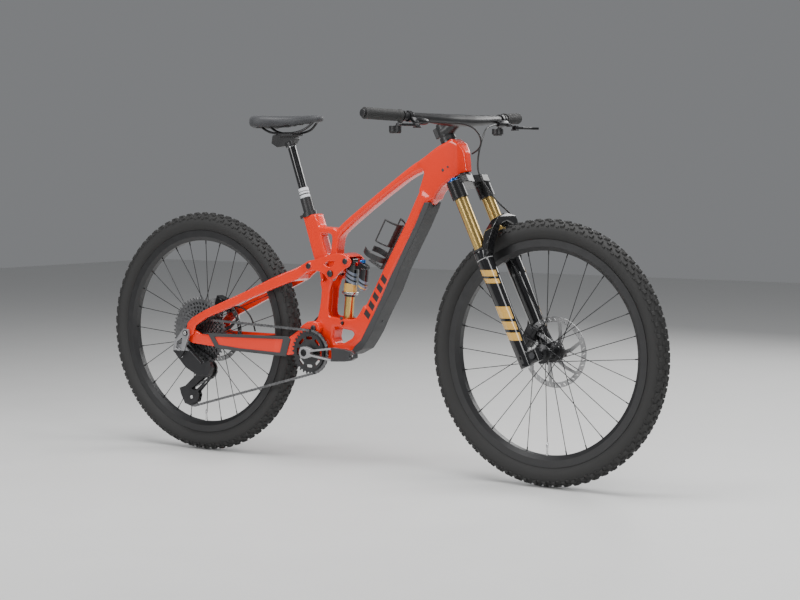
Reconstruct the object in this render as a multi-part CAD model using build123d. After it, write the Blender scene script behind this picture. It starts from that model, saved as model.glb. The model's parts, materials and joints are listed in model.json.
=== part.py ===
"""Full-suspension trail bicycle. Millimetres, +X forward, +Y left, +Z up.
The origin lies on the ground, midway between the two wheel axles."""
from build123d import *
from math import atan2, cos, degrees, hypot, pi, radians, sin, sqrt
import os

os.makedirs("parts", exist_ok=True)

# ---- driving dimensions ------------------------------------------------------------------
wheelbase = 1244.0
tyre_radius = 374.0
tyre_half_width = 31.0
bead_radius = 311.0
rim_inner_radius = 285.0
rim_half_width = 17.5
head_angle = radians(64.5)
fork_offset = 44.0
fork_travel = 150.0
leg_half_spacing = 70.0
leg_forward = 9.0
stanchion_radius = 18.0
front_hub_half = 55.0
rear_hub_half = 74.0
axle_radius = 6.0
running_gap = 0.06
rotor_radius = 100.0
crank_length = 175.0
chain_plane = -50.5
chain_pitch = 12.7
chainring_teeth = 32
cog_teeth = [10, 12, 14, 16, 18, 21, 24, 28, 32, 38, 44, 52]
driven_cog = 5
cog_spacing = 3.6
pulley_teeth = 14
post_angle = radians(71.0)
post_radius = 15.5
post_drop = 130.0
bar_half_width = 400.0

rear_axle = (-wheelbase / 2, tyre_radius)
front_axle = (wheelbase / 2, tyre_radius)
bottom_bracket = (-170.0, 337.0)
main_pivot = (-163.0, 408.0)
rocker_pivot = (-104.0, 573.0)
stay_pivot = (-184.0, 593.0)
shock_top = (-48.0, 611.0)
shock_foot = (-66.0, 427.0)
upper_pulley = (-565.0, 262.0)
lower_pulley = (-632.0, 170.0)
seat_clamp_point = (-206.0, 745.0)

steer_up = (-cos(head_angle), sin(head_angle))
steer_ahead = (sin(head_angle), cos(head_angle))
steer_foot = (front_axle[0] - fork_offset * steer_ahead[0], front_axle[1] - fork_offset * steer_ahead[1])

head_low, head_high = 564.0, 669.0
seal_height = 334.0
socket_low, socket_high = 488.0, 541.0
bar_height, bar_ahead = 712.0, 52.0


# ---- helpers -----------------------------------------------------------------------------
def steer(height, ahead=0.0, side=0.0):
    """Point in the fork's own frame: up the steering axis, ahead of it and to the left."""
    return Vector(
        steer_foot[0] + height * steer_up[0] + ahead * steer_ahead[0],
        side,
        steer_foot[1] + height * steer_up[1] + ahead * steer_ahead[1],
    )


def steer_side(height, ahead=0.0):
    """The same point as an (x, z) pair for side outlines."""
    point = steer(height, ahead)
    return (point.X, point.Z)


def steer_plane(height, ahead=0.0, side=0.0):
    """Plane square to the steering axis: local x is ahead and local y is left."""
    return Plane(
        origin=steer(height, ahead, side),
        x_dir=(steer_ahead[0], 0, steer_ahead[1]),
        z_dir=(steer_up[0], 0, steer_up[1]),
    )


def side_plane(y):
    """Plane facing right at this y: local x is forward and local y is up, and extrusion goes to the right."""
    return Plane(origin=(0, y, 0), x_dir=(1, 0, 0), z_dir=(0, -1, 0))


def face_of(points):
    return make_face(Polyline(*points, close=True))


def slab(points, y_low, y_high):
    """Side outline (x, z) made into a solid between two y values."""
    return extrude(side_plane(y_high) * face_of(points), amount=y_high - y_low)


def deck(points, z_low, z_high):
    """Top outline (x, y) made into a solid between two heights."""
    return extrude(Plane.XY.offset(z_low) * face_of(points), amount=z_high - z_low)


def disc(centre, radius, y_low, y_high, bore=0.0):
    """Cylinder across the bicycle, with an optional bore."""
    face = Circle(radius) - Circle(bore) if bore else Circle(radius)
    return extrude(side_plane(y_high) * Pos(centre[0], centre[1]) * face, amount=y_high - y_low)


def rod(start, end, radius, bore=0.0):
    """Straight round bar between two points, with an optional bore."""
    start, end = Vector(*start), Vector(*end)
    plane = Plane(origin=start, z_dir=end - start)
    face = Circle(radius) - Circle(bore) if bore else Circle(radius)
    return extrude(plane * face, amount=(end - start).length)


def tube(stations, wall=0.0):
    """Loft of rounded boxes along a path in the XZ plane.
    A station is (x, z, depth, width, path angle in degrees, y)."""

    def skin(inset):
        sections = []
        for x, z, depth, width, angle, *y in stations:
            tilt = radians(angle)
            plane = Plane(origin=(x, y[0] if y else 0, z), x_dir=(0, 1, 0), z_dir=(cos(tilt), 0, sin(tilt)))
            corner = 0.34 * (min(depth, width) - 2 * inset)
            sections.append(plane * RectangleRounded(width - 2 * inset, depth - 2 * inset, corner))
        return loft(sections)

    return skin(0) - skin(wall) if wall else skin(0)


def round_loft(points, radii):
    """Loft of circles along a list of points."""
    points = [Vector(*p) for p in points]
    sections = []
    for i, point in enumerate(points):
        along = points[min(i + 1, len(points) - 1)] - points[max(i - 1, 0)]
        sections.append(Plane(origin=point, z_dir=along) * Circle(radii[i]))
    return loft(sections)


def hose(points, radius):
    """Round hose along straight runs joined by tangent arcs, as large as the runs allow."""
    points = [Vector(*p) for p in points]
    radii = []
    for before, here, after in zip(points, points[1:], points[2:]):
        turn = radians((here - before).get_angle(after - here))
        radii.append(0.45 * min((here - before).length, (after - here).length) / max(sin(turn / 2) / cos(turn / 2), 1e-3))
    path = FilletPolyline(*points, radius=radii)
    solid = sweep(Plane(origin=points[0], z_dir=points[1] - points[0]) * Circle(radius), path=path)
    print("hose length %.0f, least radius %.0f, volume share %.4f" % (
        path.length, min(radii), solid.volume / (path.length * pi * radius**2)))
    return solid


def mirror_pair(shape):
    """The shape and its mirror image across the middle plane."""
    return [shape, mirror(shape, about=Plane.XZ)]


def export(name, *shapes):
    solids = []
    for shape in shapes:
        solids += shape.solids() if hasattr(shape, "solids") else list(shape)
    shape = solids[0] if len(solids) == 1 else Compound(children=solids)
    shape.label = name
    export_step(shape, "parts/%s.step" % name)


def pitch_radius(teeth):
    return chain_pitch / 2 / sin(pi / teeth)


def toothed(teeth, centre, bore, phase=0.0):
    """Sprocket outline: four points to a tooth, between the roots and the tips."""
    pitch = pitch_radius(teeth)
    root, tip = pitch - 4.0, pitch + 2.6
    points = []
    for i in range(teeth):
        for share, radius in ((-0.30, root), (-0.12, tip), (0.12, tip), (0.30, root)):
            angle = 2 * pi * (i + share) / teeth + phase
            points.append((radius * cos(angle), radius * sin(angle)))
    return Pos(*centre) * (face_of(points) - Circle(bore))


# ---- wheels ------------------------------------------------------------------------------
def ring_of(section, axle):
    """Closed (radius, y) outline turned about a wheel axle."""
    face = make_face(section)
    plane = Plane(origin=(axle[0], 0, axle[1]), x_dir=(0, 0, 1), z_dir=(-1, 0, 0))
    return revolve(plane * face, axis=Axis((axle[0], 0, axle[1]), (0, 1, 0)))


def make_tyre(axle):
    outer = [
        (319.0, 14.2), (329.0, 26.0), (345.0, tyre_half_width), (362.0, 26.5), (371.5, 13.0),
        (tyre_radius, 0.0),
    ]
    inner = [(320.0, 11.2), (333.0, 22.5), (346.0, 27.4), (359.0, 22.6), (366.5, 10.5), (368.5, 0.0)]
    outer += [(r, -y) for r, y in outer[-2::-1]]
    inner += [(r, -y) for r, y in inner[-2::-1]]
    lines = [
        Spline(*outer),
        Polyline(outer[-1], (308.5, -14.2), (308.5, -11.2), inner[-1]),
        Spline(*inner[::-1]),
        Polyline(inner[0], (308.5, 11.2), (308.5, 14.2), outer[0]),
    ]
    return ring_of(lines, axle)


def make_rim(axle):
    w = rim_half_width
    r0, r1 = rim_inner_radius, bead_radius + 6
    outline = [
        (r0, 9), (r0 + 12, w), (r1, w), (r1, w - 3), (r1 - 9.5, w - 3), (r1 - 11, 6), (r1 - 15, 4),
        (r1 - 15, -4), (r1 - 11, -6), (r1 - 9.5, 3 - w), (r1, 3 - w), (r1, -w), (r0 + 12, -w), (r0, -9),
    ]
    rim = ring_of([Polyline(*outline, close=True)], axle)
    hollow = [(r0 + 3, 7), (r0 + 12, w - 4), (r0 + 14, 6), (r0 + 14, -6), (r0 + 12, 4 - w), (r0 + 3, -7)]
    return rim - ring_of([Polyline(*hollow, close=True)], axle)


def make_hub(axle, half, left_flange, right_flange, right_end):
    """Hub shell turned about the axle, with two spoke flanges and a through bore."""
    bore = axle_radius + running_gap
    profile = [
        (bore, -right_end), (10.5, -right_end), (10.5, 3 - right_flange - 12), (17, -right_flange - 4),
        (
            27, -right_flange - 1.6,
        ), (27, -right_flange + 1.6), (17, -right_flange + 5), (15, -right_flange + 14),
        (15, left_flange - 14), (17, left_flange - 5), (27, left_flange - 1.6), (27, left_flange + 1.6),
        (19, left_flange + 4), (19, left_flange + 8), (10.5, left_flange + 10), (10.5, half), (bore, half),
    ]
    return ring_of([Polyline(*profile, close=True)], axle)


def make_spokes(axle, left_flange, right_flange, count=28, cross=55.0):
    """Tangential spokes: each leaves its flange at one angle and meets the rim further round."""
    spokes = []
    for i in range(count):
        flange = left_flange if i % 2 else -right_flange
        lean = radians(cross) * (1 if i // 2 % 2 else -1)
        side = 2.9 * (1 if i // 2 % 2 else -1)
        angle = 2 * pi * i / count
        hub_angle = angle + lean
        start = (axle[0] + 25 * cos(hub_angle), flange + side, axle[1] + 25 * sin(hub_angle))
        reach = rim_inner_radius - 0.4
        end = (axle[0] + reach * cos(angle), 2.5 * (1 if flange > 0 else -1), axle[1] + reach * sin(angle))
        spokes.append(rod(start, end, 1.1))
    return spokes


def make_rotor():
    """Vented disc at the origin: slotted braking band, six swept arms and a centre ring."""
    face = Circle(rotor_radius) - Circle(rotor_radius - 15.5)
    for i in range(36):
        slot = Rot(0, 0, 10 * i) * Pos(rotor_radius - 7.5, 0) * Rot(0, 0, 38) * SlotOverall(9.5, 2.6)
        face -= slot
    face += Circle(30) - Circle(19.4)
    for i in range(6):
        arm = Rot(0, 0, 60 * i) * face_of([(24, -9), (56, 6), (86, 30), (82, 38), (50, 15), (24, 5)])
        face += arm
    face -= Circle(19.4)
    return extrude(side_plane(0.9) * face, amount=1.8)


for name, axle in (("front", front_axle), ("rear", rear_axle)):
    export(name + "_tyre", make_tyre(axle))
    export(name + "_rim", make_rim(axle))

front_rotor_y, rear_rotor_y = 40.0, 54.6
export("front_hub", make_hub(front_axle, front_hub_half, 24.0, 32.0, front_hub_half))
export("front_spokes", *make_spokes(front_axle, 24.0, 32.0))
rotor = make_rotor()
export("front_rotor", Pos(front_axle[0], front_rotor_y, front_axle[1]) * rotor)
export("rear_hub", make_hub(rear_axle, rear_hub_half, 36.0, 12.0, 25.0))
export("rear_spokes", *make_spokes(rear_axle, 36.0, 12.0))
export("rear_rotor", Pos(rear_axle[0], rear_rotor_y, rear_axle[1]) * rotor)


# ---- drivetrain --------------------------------------------------------------------------
def make_cassette():
    """Twelve sprockets on one freehub sleeve."""
    sleeve = disc(rear_axle, 17.0, -72.0, -26.0, axle_radius + running_gap)
    body = sleeve
    for i, teeth in enumerate(cog_teeth):
        y = chain_plane + (i - driven_cog) * cog_spacing
        face = toothed(teeth, rear_axle, 16.0)
        body += extrude(side_plane(y + 0.9) * face, amount=1.8)
    return body


export("cassette", make_cassette())

ring_pitch = pitch_radius(chainring_teeth)
ring_face = toothed(chainring_teeth, bottom_bracket, 17.0)
chainring = extrude(side_plane(chain_plane + 1.0) * ring_face, amount=2.0)
chainring += disc(bottom_bracket, ring_pitch - 9.0, chain_plane - 4.6, chain_plane - 1.0, 17.0)
for i in range(8):
    window = Pos(*bottom_bracket) * Rot(0, 0, 45 * i) * Pos(42, 0) * Rot(0, 0, 90) * SlotOverall(23, 9)
    chainring -= extrude(side_plane(chain_plane + 2.0) * window, amount=8.0)
export("chainring", chainring)


def make_crankset():
    """Spindle with the right arm pointing forward and the left arm pointing back."""
    spindle = disc(bottom_bracket, 14.9, -66.0, 66.0, 11.0)
    arms = []
    for side, way in ((-1, 1), (1, -1)):
        x, z = bottom_bracket
        tip = x + way * crank_length
        upper = [(-12, 17), (12, 16), (26, 10), (104, 20.5), (150, 18), (175, 14), (189, 6)]
        outline = [(x + way * a, z + h) for a, h in upper] + [(x + way * a, z - h) for a, h in upper[::-1]]
        y_in, y_out = min(side * 66.0, side * 83.0), max(side * 66.0, side * 83.0)
        arm = slab(outline, y_in, y_out) + disc(bottom_bracket, 18.0, y_in, y_out)
        if side < 0:
            slot = [(23, 3.2), (98, 14.0), (103, 13.0)]
            fork = [(x + way * a, z + h) for a, h in slot] + [(x + way * a, z - h) for a, h in slot[::-1]]
            arm -= slab(fork, y_in, y_out)
        arm -= disc((tip, z), 7.1, y_in, y_out)
        arms.append(arm)
    hub = disc(bottom_bracket, 16.9, -66.0, -47.0, 14.9)
    return spindle + hub + arms[0] + arms[1]


export("crankset", make_crankset())


def tangent_loop(wheels):
    """Closed run of tangents and arcs round wheels given as (centre, radius, turn).
    turn is 1 where the run goes round anticlockwise and -1 where it goes round clockwise."""
    contacts = []
    for (c1, r1, s1), (c2, r2, s2) in zip(wheels, wheels[1:] + wheels[:1]):
        dx, dz = c2[0] - c1[0], c2[1] - c1[1]
        gap = hypot(dx, dz)
        heading = atan2(dz, dx)
        swing = (s2 * r2 - s1 * r1) / gap
        along = heading - atan2(swing, sqrt(1 - swing * swing))
        out = (sin(along), -cos(along))
        contacts.append((
            (c1[0] + s1 * r1 * out[0], c1[1] + s1 * r1 * out[1]),
            (c2[0] + s2 * r2 * out[0], c2[1] + s2 * r2 * out[1]),
        ))
    edges = []
    for i, (centre, radius, turn) in enumerate(wheels):
        arrive, leave = contacts[i - 1][1], contacts[i][0]
        a0 = atan2(arrive[1] - centre[1], arrive[0] - centre[0])
        a1 = atan2(leave[1] - centre[1], leave[0] - centre[0])
        sweep_angle = (a1 - a0) * turn % (2 * pi) * turn
        middle = a0 + sweep_angle / 2
        edges.append(ThreePointArc(arrive, (centre[0] + radius * cos(middle), centre[1] + radius * sin(middle)), leave))
        edges.append(Line(*contacts[i]))
    return edges, contacts


chain_wheels = [
    (bottom_bracket, ring_pitch, 1),
    (rear_axle, pitch_radius(cog_teeth[driven_cog]), 1),
    (upper_pulley, pitch_radius(pulley_teeth), -1),
    (lower_pulley, pitch_radius(pulley_teeth), 1),
]


def make_chain():
    """Two rows of side plates as closed bands, joined by pins along the two free runs."""
    def band(half_height, y_high, thickness):
        loops = []
        for offset in (half_height, -half_height):
            wheels = [(c, r + turn * offset, turn) for c, r, turn in chain_wheels]
            loops.append(make_face(tangent_loop(wheels)[0]))
        return extrude(side_plane(y_high) * (loops[0] - loops[1]), amount=thickness)

    chain = band(3.9, chain_plane + 2.6, 1.1) + band(3.9, chain_plane - 1.5, 1.1)
    contacts = tangent_loop(chain_wheels)[1]
    for start, end in (contacts[0], contacts[3]):
        pins = int(hypot(end[0] - start[0], end[1] - start[1]) / chain_pitch)
        for i in range(3, pins - 2):
            share = i / pins
            point = (start[0] + share * (end[0] - start[0]), start[1] + share * (end[1] - start[1]))
            chain += disc(point, 2.2, chain_plane - 2.1, chain_plane + 2.1)
    return chain


export("chain", make_chain())


def make_derailleur():
    """Mount on the axle end, linkage and motor body down to the cage pivot."""
    ax, az = rear_axle
    mount = slab([
        (ax - 10, az + 13), (ax + 9, az + 12), (ax + 12, az - 6), (ax - 10, az - 62), (ax - 24, az - 78),
        (ax - 52, az - 60), (ax - 50, az - 30),
    ], -97.0, -88.0)
    mount -= slab(
        [(ax - 14, az - 14), (ax - 20, az - 58), (ax - 40, az - 50), (ax - 38, az - 30)], -97.0, -88.0,
    )
    body = slab([
        (ax - 52, az - 40), (ax - 20, az - 30), (ax + 55, az - 92), (ax + 86, az - 84), (ax + 96, az - 104),
        (ax + 80, az - 128), (ax + 40, az - 132), (ax - 10, az - 108), (ax - 50, az - 70),
    ], -87.6, -72.0)
    knuckle = disc(upper_pulley, 26.0, -74.0, -60.0)
    shape = mount + body + knuckle
    shape += slab(
        [(ax - 48, az - 44), (ax - 22, az - 36), (ax - 22, az - 72), (ax - 44, az - 66)], -88.2, -86.0,
    )
    shape -= disc(rear_axle, axle_radius + running_gap, -100.0, -84.0)
    pin = disc(upper_pulley, 4.0, -60.0, -41.5)
    return shape + pin


export("derailleur_body", make_derailleur())


def make_cage():
    """Two plates joined at the lower pulley's pin and by a spacer, on the upper pulley's pin."""
    ux, uz = upper_pulley
    lx, lz = lower_pulley
    outline = [
        (ux + 16, uz + 8), (ux + 4, uz + 16), (ux - 12, uz + 10), (lx - 26, lz + 34), (lx - 50, lz + 26),
        (lx - 44, lz + 6), (lx - 28, lz - 22), (lx - 6, lz - 27), (lx + 24, lz - 12), (lx + 30, lz + 8),
        (lx + 26, lz + 18), (ux + 20, uz - 12),
    ]
    window = [(ux - 4, uz - 18), (lx - 2, lz + 26), (lx + 16, lz + 22), (ux + 8, uz - 22)]
    cage = None
    for y_low, y_high in ((-59.4, -56.9), (-44.1, -41.7)):
        plate = slab(outline, y_low, y_high) - slab(window, y_low, y_high)
        plate -= disc(upper_pulley, 4.0 + running_gap, y_low, y_high)
        cage = plate if cage is None else cage + plate
    cage += disc(lower_pulley, 4.0, -57.0, -44.0)
    cage += disc((lx - 40, lz + 22), 3.0, -57.0, -44.0)
    return cage


export("derailleur_cage", make_cage())
for name, centre in (("upper_pulley", upper_pulley), ("lower_pulley", lower_pulley)):
    wheel = extrude(
        side_plane(chain_plane + 1.0) * toothed(pulley_teeth, centre, 4.0 + running_gap), amount=2.0,
    )
    wheel += disc(centre, 9.0, chain_plane - 5.5, chain_plane + 5.5, 4.0 + running_gap)
    export(name, wheel)


# ---- frame -------------------------------------------------------------------------------
def make_head_tube():
    """Head tube with the start of the top tube and of the down tube."""
    outline = [
        (199, 904), (232, 924), (291, 961), steer_side(head_high, -20),
        steer_side(head_high, 24), (341, 955), (356, 931), (362, 884), steer_side(head_low, 27),
        steer_side(head_low, -26), (283, 832), (266, 812), (256, 793), (203, 822), (213, 846), (222, 873),
    ]
    plan = [(190, -23), (300, -26), (338, -26), (368, -11), (368, 11), (338, 26), (300, 26), (190, 23)]
    shell = slab(outline, -30, 30) & deck(plan, 780, 990)
    shell -= rod(steer(head_low - 8), steer(head_high + 8), 22.0)
    shell -= rod(steer(head_high), steer(head_high + 30), 45.0)
    return shell - rod(steer(head_low - 40), steer(head_low), 30.0)


def make_cradle():
    """Lower frame: seat tube channel, shock bridge, bottom bracket shell and main pivot boss."""
    outline = [
        (
            -173, 600,
        ), (-160, 583), (-147, 522), (-150, 492), (-155, 462), (-163, 437), (-174, 424), (-180, 408),
        (
            -178, 385,
        ), (-196, 350), (-196, 326), (-182, 310), (-165, 308), (-120, 314), (-60, 327), (-29, 341),
        (4, 358), (22, 382), (44, 420), (60, 456), (12, 484), (-3, 460), (-14, 447), (-29, 440), (-55, 440),
        (-92, 444), (
            -117, 447,
        ), (-121, 463), (-117, 493), (-114, 523), (-103, 553), (-90, 564), (-86, 580), (-88, 600),
    ]
    plan = [(-210, -24), (-100, -26), (-60, -30), (70, -29), (70, 29), (-60, 30), (-100, 26), (-210, 24)]
    body = slab(outline, -36, 36) & deck(plan, 300, 610)
    channel = [
        (
            -150, 602,
        ), (-150, 590), (-136, 522), (-139, 492), (-142, 458), (-130, 424), (-104, 408), (-26, 404),
        (-12, 446), (0, 470), (-90, 470), (-90, 602),
    ]
    body -= slab(channel, -20, 20)
    window = [
        (-98, 414), (-81, 412), (-30, 405), (-22, 397), (-30, 384), (-60, 368), (-100, 362), (-106, 380),
    ]
    body -= slab(window, -40, 40)
    eye_path = [(-230, 548), (-132, 548), (-124, 560), (-122, 590), (-122, 612), (-230, 612)]
    body -= slab(eye_path, 20, 40)
    body -= slab(eye_path, -40, -20)
    tunnel = [(-30, 372), (6, 372), (36, 424), (44, 452), (16, 464), (-8, 428)]
    body -= slab(tunnel, -23, 23)
    body -= rod((-14, 0, 456), (-2, 0, 506), 16.2)
    body += disc(bottom_bracket, 28.0, -36.5, 36.5)
    body -= disc(bottom_bracket, 21.0, -37.0, 37.0)
    body += disc(rocker_pivot, 16.0, -29.0, 29.0) - disc(rocker_pivot, 17.0, -20.0, 20.0)
    for centre, radius in ((main_pivot, 7.5), (rocker_pivot, 6.0), (shock_foot, 5.0)):
        body -= disc(centre, radius, -40, 40)
    return body


def make_seat_tube():
    """Upper seat tube with the seatpost bore, the brace and the rear leg of the top tube."""
    outline = [
        (-222, 741), (-199, 672), (-182, 620), (-173, 600), (-88, 600), (-92, 641), (-86, 676), (-76, 692),
        (-101, 709), (-158, 712), (-170, 750),
    ]
    plan = [(-230, -19), (-150, -20), (-60, -20), (-60, 20), (-150, 20), (-230, 19)]
    body = slab(outline, -30, 30) & deck(plan, 590, 760)
    body -= slab(
        [(-153, 690), (-118, 691), (-111, 684), (-111, 668), (-117, 632), (-129, 623), (-133, 626)], -30,
        30,
    )
    foot = Vector(seat_clamp_point[0], 0, seat_clamp_point[1])
    along = Vector(-cos(post_angle), 0, sin(post_angle))
    body -= rod(foot - along * 128, foot + along * 30, post_radius)
    body -= Pos(foot.X, 0, foot.Z) * Rot(0, -19, 0) * Pos(0, 0, 25) * Box(80, 80, 50)
    return body


top_tube_stations = [
    (-93, 688, 22, 39, 50), (-60, 718, 25, 40, 37), (-30, 740, 24.5, 40, 34.5), (40, 789, 24, 40, 34.5),
    (110, 836, 25, 41, 33), (160, 868, 28, 42, 32), (209, 891, 38, 45, 31),
]
down_tube_stations = [
    (36, 470, 54, 58, 60), (62, 516, 51, 57, 60.5), (99, 582, 50, 57, 60.8), (134, 643, 49, 57, 60.8),
    (169, 704, 48, 56, 61), (202, 766, 50, 54, 61.5), (230, 808, 60, 52, 60),
]
head_tube = make_head_tube()
cradle = make_cradle()
seat_tube = make_seat_tube()
top_tube = tube(top_tube_stations, 3.0) - head_tube - seat_tube
top_tube = max(top_tube.solids(), key=lambda s: s.volume)
down_tube = tube(down_tube_stations, 3.5) - head_tube - cradle
down_tube = max(down_tube.solids(), key=lambda s: s.volume)
export("head_tube", head_tube)
export("lower_frame", cradle)
export("seat_tube", seat_tube)
export("top_tube", top_tube)
export("down_tube", down_tube)

guard_half_width = 31.0


def make_guard():
    """Moulded cover wrapped over the down tube's front face, down under the bottom bracket."""
    back = [
        (
            228, 788,
        ), (196, 722), (161, 661), (143, 629), (104, 561), (74, 501), (39, 441), (21, 411), (3, 380),
        (-19, 362), (-36, 340),
    ]
    face = [
        (-38, 332), (-27, 336), (7, 353), (25, 376), (46, 408), (61, 438), (79, 470), (97, 500), (114, 530),
        (141, 589), (177, 654), (211, 713), (241, 771), (247, 788),
    ]
    core = slab(back + face, -guard_half_width, guard_half_width)
    keep_out = tube([(
        x, z, depth + 0.4, width + 0.4, angle,
    ) for x, z, depth, width, angle in down_tube_stations])
    cover = core - keep_out - cradle - head_tube
    return max(cover.solids(), key=lambda s: s.volume)


export("down_tube_guard", make_guard())

bearing_cups = [
    rod(steer(head_low - 4), steer(head_low + 8), 21.9, 14.4 + running_gap),
    rod(steer(head_high - 8), steer(head_high + 4), 21.9, 14.4 + running_gap),
]
bearing_cups += mirror_pair(disc(bottom_bracket, 20.9, 27.0, 44.0, 14.9 + running_gap))

pivot_bolts = [
    disc(main_pivot, 7.44, -44.0, 44.0),
    disc(rocker_pivot, 5.94, -37.2, 37.2) + disc(rocker_pivot, 10.0, 37.2, 40.5) + disc(
        rocker_pivot, 10.0, -40.5, -37.2,
    ),
    disc(shock_foot, 4.94, -30.5, 30.5),
]
export("frame_bearings_and_pins", *bearing_cups, *pivot_bolts)


def make_bottle_cage():
    """Holder on the down tube's upper face: a back plate, an open hoop and toe below, two wings above."""
    lean = radians(60.8)
    base = (104, 0, 661)
    lie = Plane(origin=base, x_dir=(0, 1, 0), z_dir=(cos(lean), 0, sin(lean)))
    cage = extrude(lie.offset(-84) * Pos(0, 3.0) * Rectangle(22, 3.4), amount=150)
    ring = Pos(0, 41.0) * (Circle(40.5) - Circle(37.2))
    hoop = ring - Pos(0, 80) * Rectangle(40, 46)
    cage += extrude(lie.offset(-64) * hoop, amount=18)
    wings = ring - Pos(0, 84) * Rectangle(90, 80)
    cage += extrude(lie.offset(-10) * wings, amount=76)
    cage -= extrude(lie.offset(-5) * Pos(0, 24) * Rectangle(90, 31), amount=65)
    cage += extrude(lie.offset(-84) * Pos(0, 28) * Rectangle(20, 52), amount=4)
    return cage


export("bottle_cage", make_bottle_cage())

# ---- seat --------------------------------------------------------------------------------
post_foot = Vector(seat_clamp_point[0], 0, seat_clamp_point[1])
post_up = Vector(-cos(post_angle), 0, sin(post_angle))


def post_rod(low, high, radius, bore=0.0):
    return rod(post_foot + post_up * low, post_foot + post_up * high, radius, bore)


clamp = post_rod(-6, 8, 22.0, post_radius)
tab = Pos(post_foot.X, 0, post_foot.Z) * Rot(0, -19, 0) * Pos(-26, 0, 2) * Box(14, 16, 10)
clamp += tab - post_rod(-20, 30, 20.0)
clamp -= disc((post_foot.X - 28, post_foot.Z + 10), 2.5, -12, 12)
export("seat_clamp", clamp - seat_tube)
outer_post = post_rod(-125, 84, post_radius - 0.05, 12.6 + running_gap)
outer_post += post_rod(8, 53, 17.2, 12.6 + running_gap)
export("seatpost_outer", outer_post)
export("seatpost_stanchion", post_rod(8, 216, 12.6))
head_x, head_z = (post_foot + post_up * 225).X, (post_foot + post_up * 225).Z
post_head = post_rod(216.1, 230, 17.0)
post_head += slab([
    (
        head_x - 62, head_z + 26,
    ), (head_x - 66, head_z + 2), (head_x - 44, head_z - 10), (head_x - 14, head_z - 6),
    (head_x + 14, head_z - 2), (
        head_x + 24, head_z + 14,
    ), (head_x + 18, head_z + 30), (head_x - 20, head_z + 34),
], -12, 12)
post_head += slab([
    (
        head_x - 30, head_z + 22,
    ), (head_x + 26, head_z + 24), (head_x + 26, head_z + 34), (head_x - 30, head_z + 34),
], -26, 26)
rail_z = head_z + 32
for rail_y in (-22, 22):
    post_head -= rod((head_x - 60, rail_y, rail_z), (head_x + 60, rail_y, rail_z), 4.2)
post_head -= post_rod(200, 216.1, 20)
export("seatpost_head", post_head)

saddle_rear, saddle_nose = -397.0, -162.0
saddle_pad = 15.0


def saddle_section(share):
    """Half width, top height and bottom height at a share of the length from the back."""
    half = 17 + 54 / (1 + (share / 0.42) ** 4)
    top = 1044 - 4 * sin(pi * share) - 2 * share**3
    depth = 18 + 22 * (1 - share**2) ** 2 * (1 - 0.3 * share) + 6 * share**4
    return half, top, depth


def make_saddle():
    """Padded shell with sides that hang down at the back, hollow underneath."""
    outer, hollow = [], []
    for share in (0.0, 0.12, 0.3, 0.5, 0.7, 0.88, 1.0):
        half, top, depth = saddle_section(share)
        x = saddle_rear + share * (saddle_nose - saddle_rear)
        if share in (0.0, 1.0):
            half, depth, top = half * 0.8, depth * 0.75, top - 3
        plane = Plane(origin=(x, 0, top - depth / 2), x_dir=(0, 1, 0), z_dir=(1, 0, 0))
        outer.append(plane * RectangleRounded(2 * half, depth, 0.42 * min(depth, 2 * half)))
        if 0 < share < 1:
            below = Plane(origin=(x, 0, top - saddle_pad - 25), x_dir=(0, 1, 0), z_dir=(1, 0, 0))
            hollow.append(below * RectangleRounded(2 * half - 18, 50, 4))
    return loft(outer) - loft(hollow)


saddle = make_saddle()
export("saddle", saddle)
rails = []
for side in (-1, 1):
    y = 22 * side
    rails.append(hose([
        (saddle_rear + 12, y, 1014), (saddle_rear + 48, y, rail_z + 5), (saddle_rear + 72, y, rail_z),
        (head_x + 28, y, rail_z), (saddle_nose - 52, y * 0.8, rail_z + 9),
        (saddle_nose - 18, y * 0.35, 1027),
    ], 3.5) - saddle)
export("saddle_rails", *[s for r in rails for s in r.solids()])

# ---- rear suspension ---------------------------------------------------------------------
stay_side = [
    (-622, 392), (-604, 387), (-577, 372), (-392, 374), (-256, 375), (-222, 396), (-205, 415), (-184, 427),
    (-163, 429), (-146, 421), (-141, 408), (-146, 395), (-163, 386), (-184, 372), (-200, 340), (-211, 329),
    (-257, 322), (-314, 323), (-432, 329), (-533, 336), (-606, 342), (-634, 352), (-641, 374), (-634, 388),
]
stay_inner = [
    (
        -645, 74.1,
    ), (-606, 74.1), (-590, 69), (-560, 64), (-515, 59.5), (-480, 53), (-400, 45), (-300, 40), (-262, 38),
    (-246, 34), (-200, 25.4), (-130, 25.4),
]
stay_outer = [
    (-130, 41), (-200, 44), (
        -243, 45.8,
    ), (-300, 56), (-400, 62), (-480, 67), (-515, 72), (-560, 77), (-590, 80),
    (-645, 80),
]


def make_chainstay():
    """Two stays joined by a yoke behind the seat tube, with the axle ends."""
    right = None
    for side in (-1, 1):
        plan = [(x, side * y) for x, y in stay_inner + stay_outer]
        stay = slab(stay_side, -90, 90) & deck(plan, 300, 440)
        right = stay if right is None else right + stay
    yoke = slab([(-236, 386), (-222, 396), (-205, 412), (-200, 396), (-214, 380)], -46, 46)
    yoke &= deck([(-238, -34), (-200, -34), (-200, 34), (-238, 34)], 370, 420)
    body = right + yoke
    body -= disc(main_pivot, 7.5, -50, 50)
    body -= disc(rear_axle, axle_radius + 0.02, -90, 90)
    return body


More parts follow.
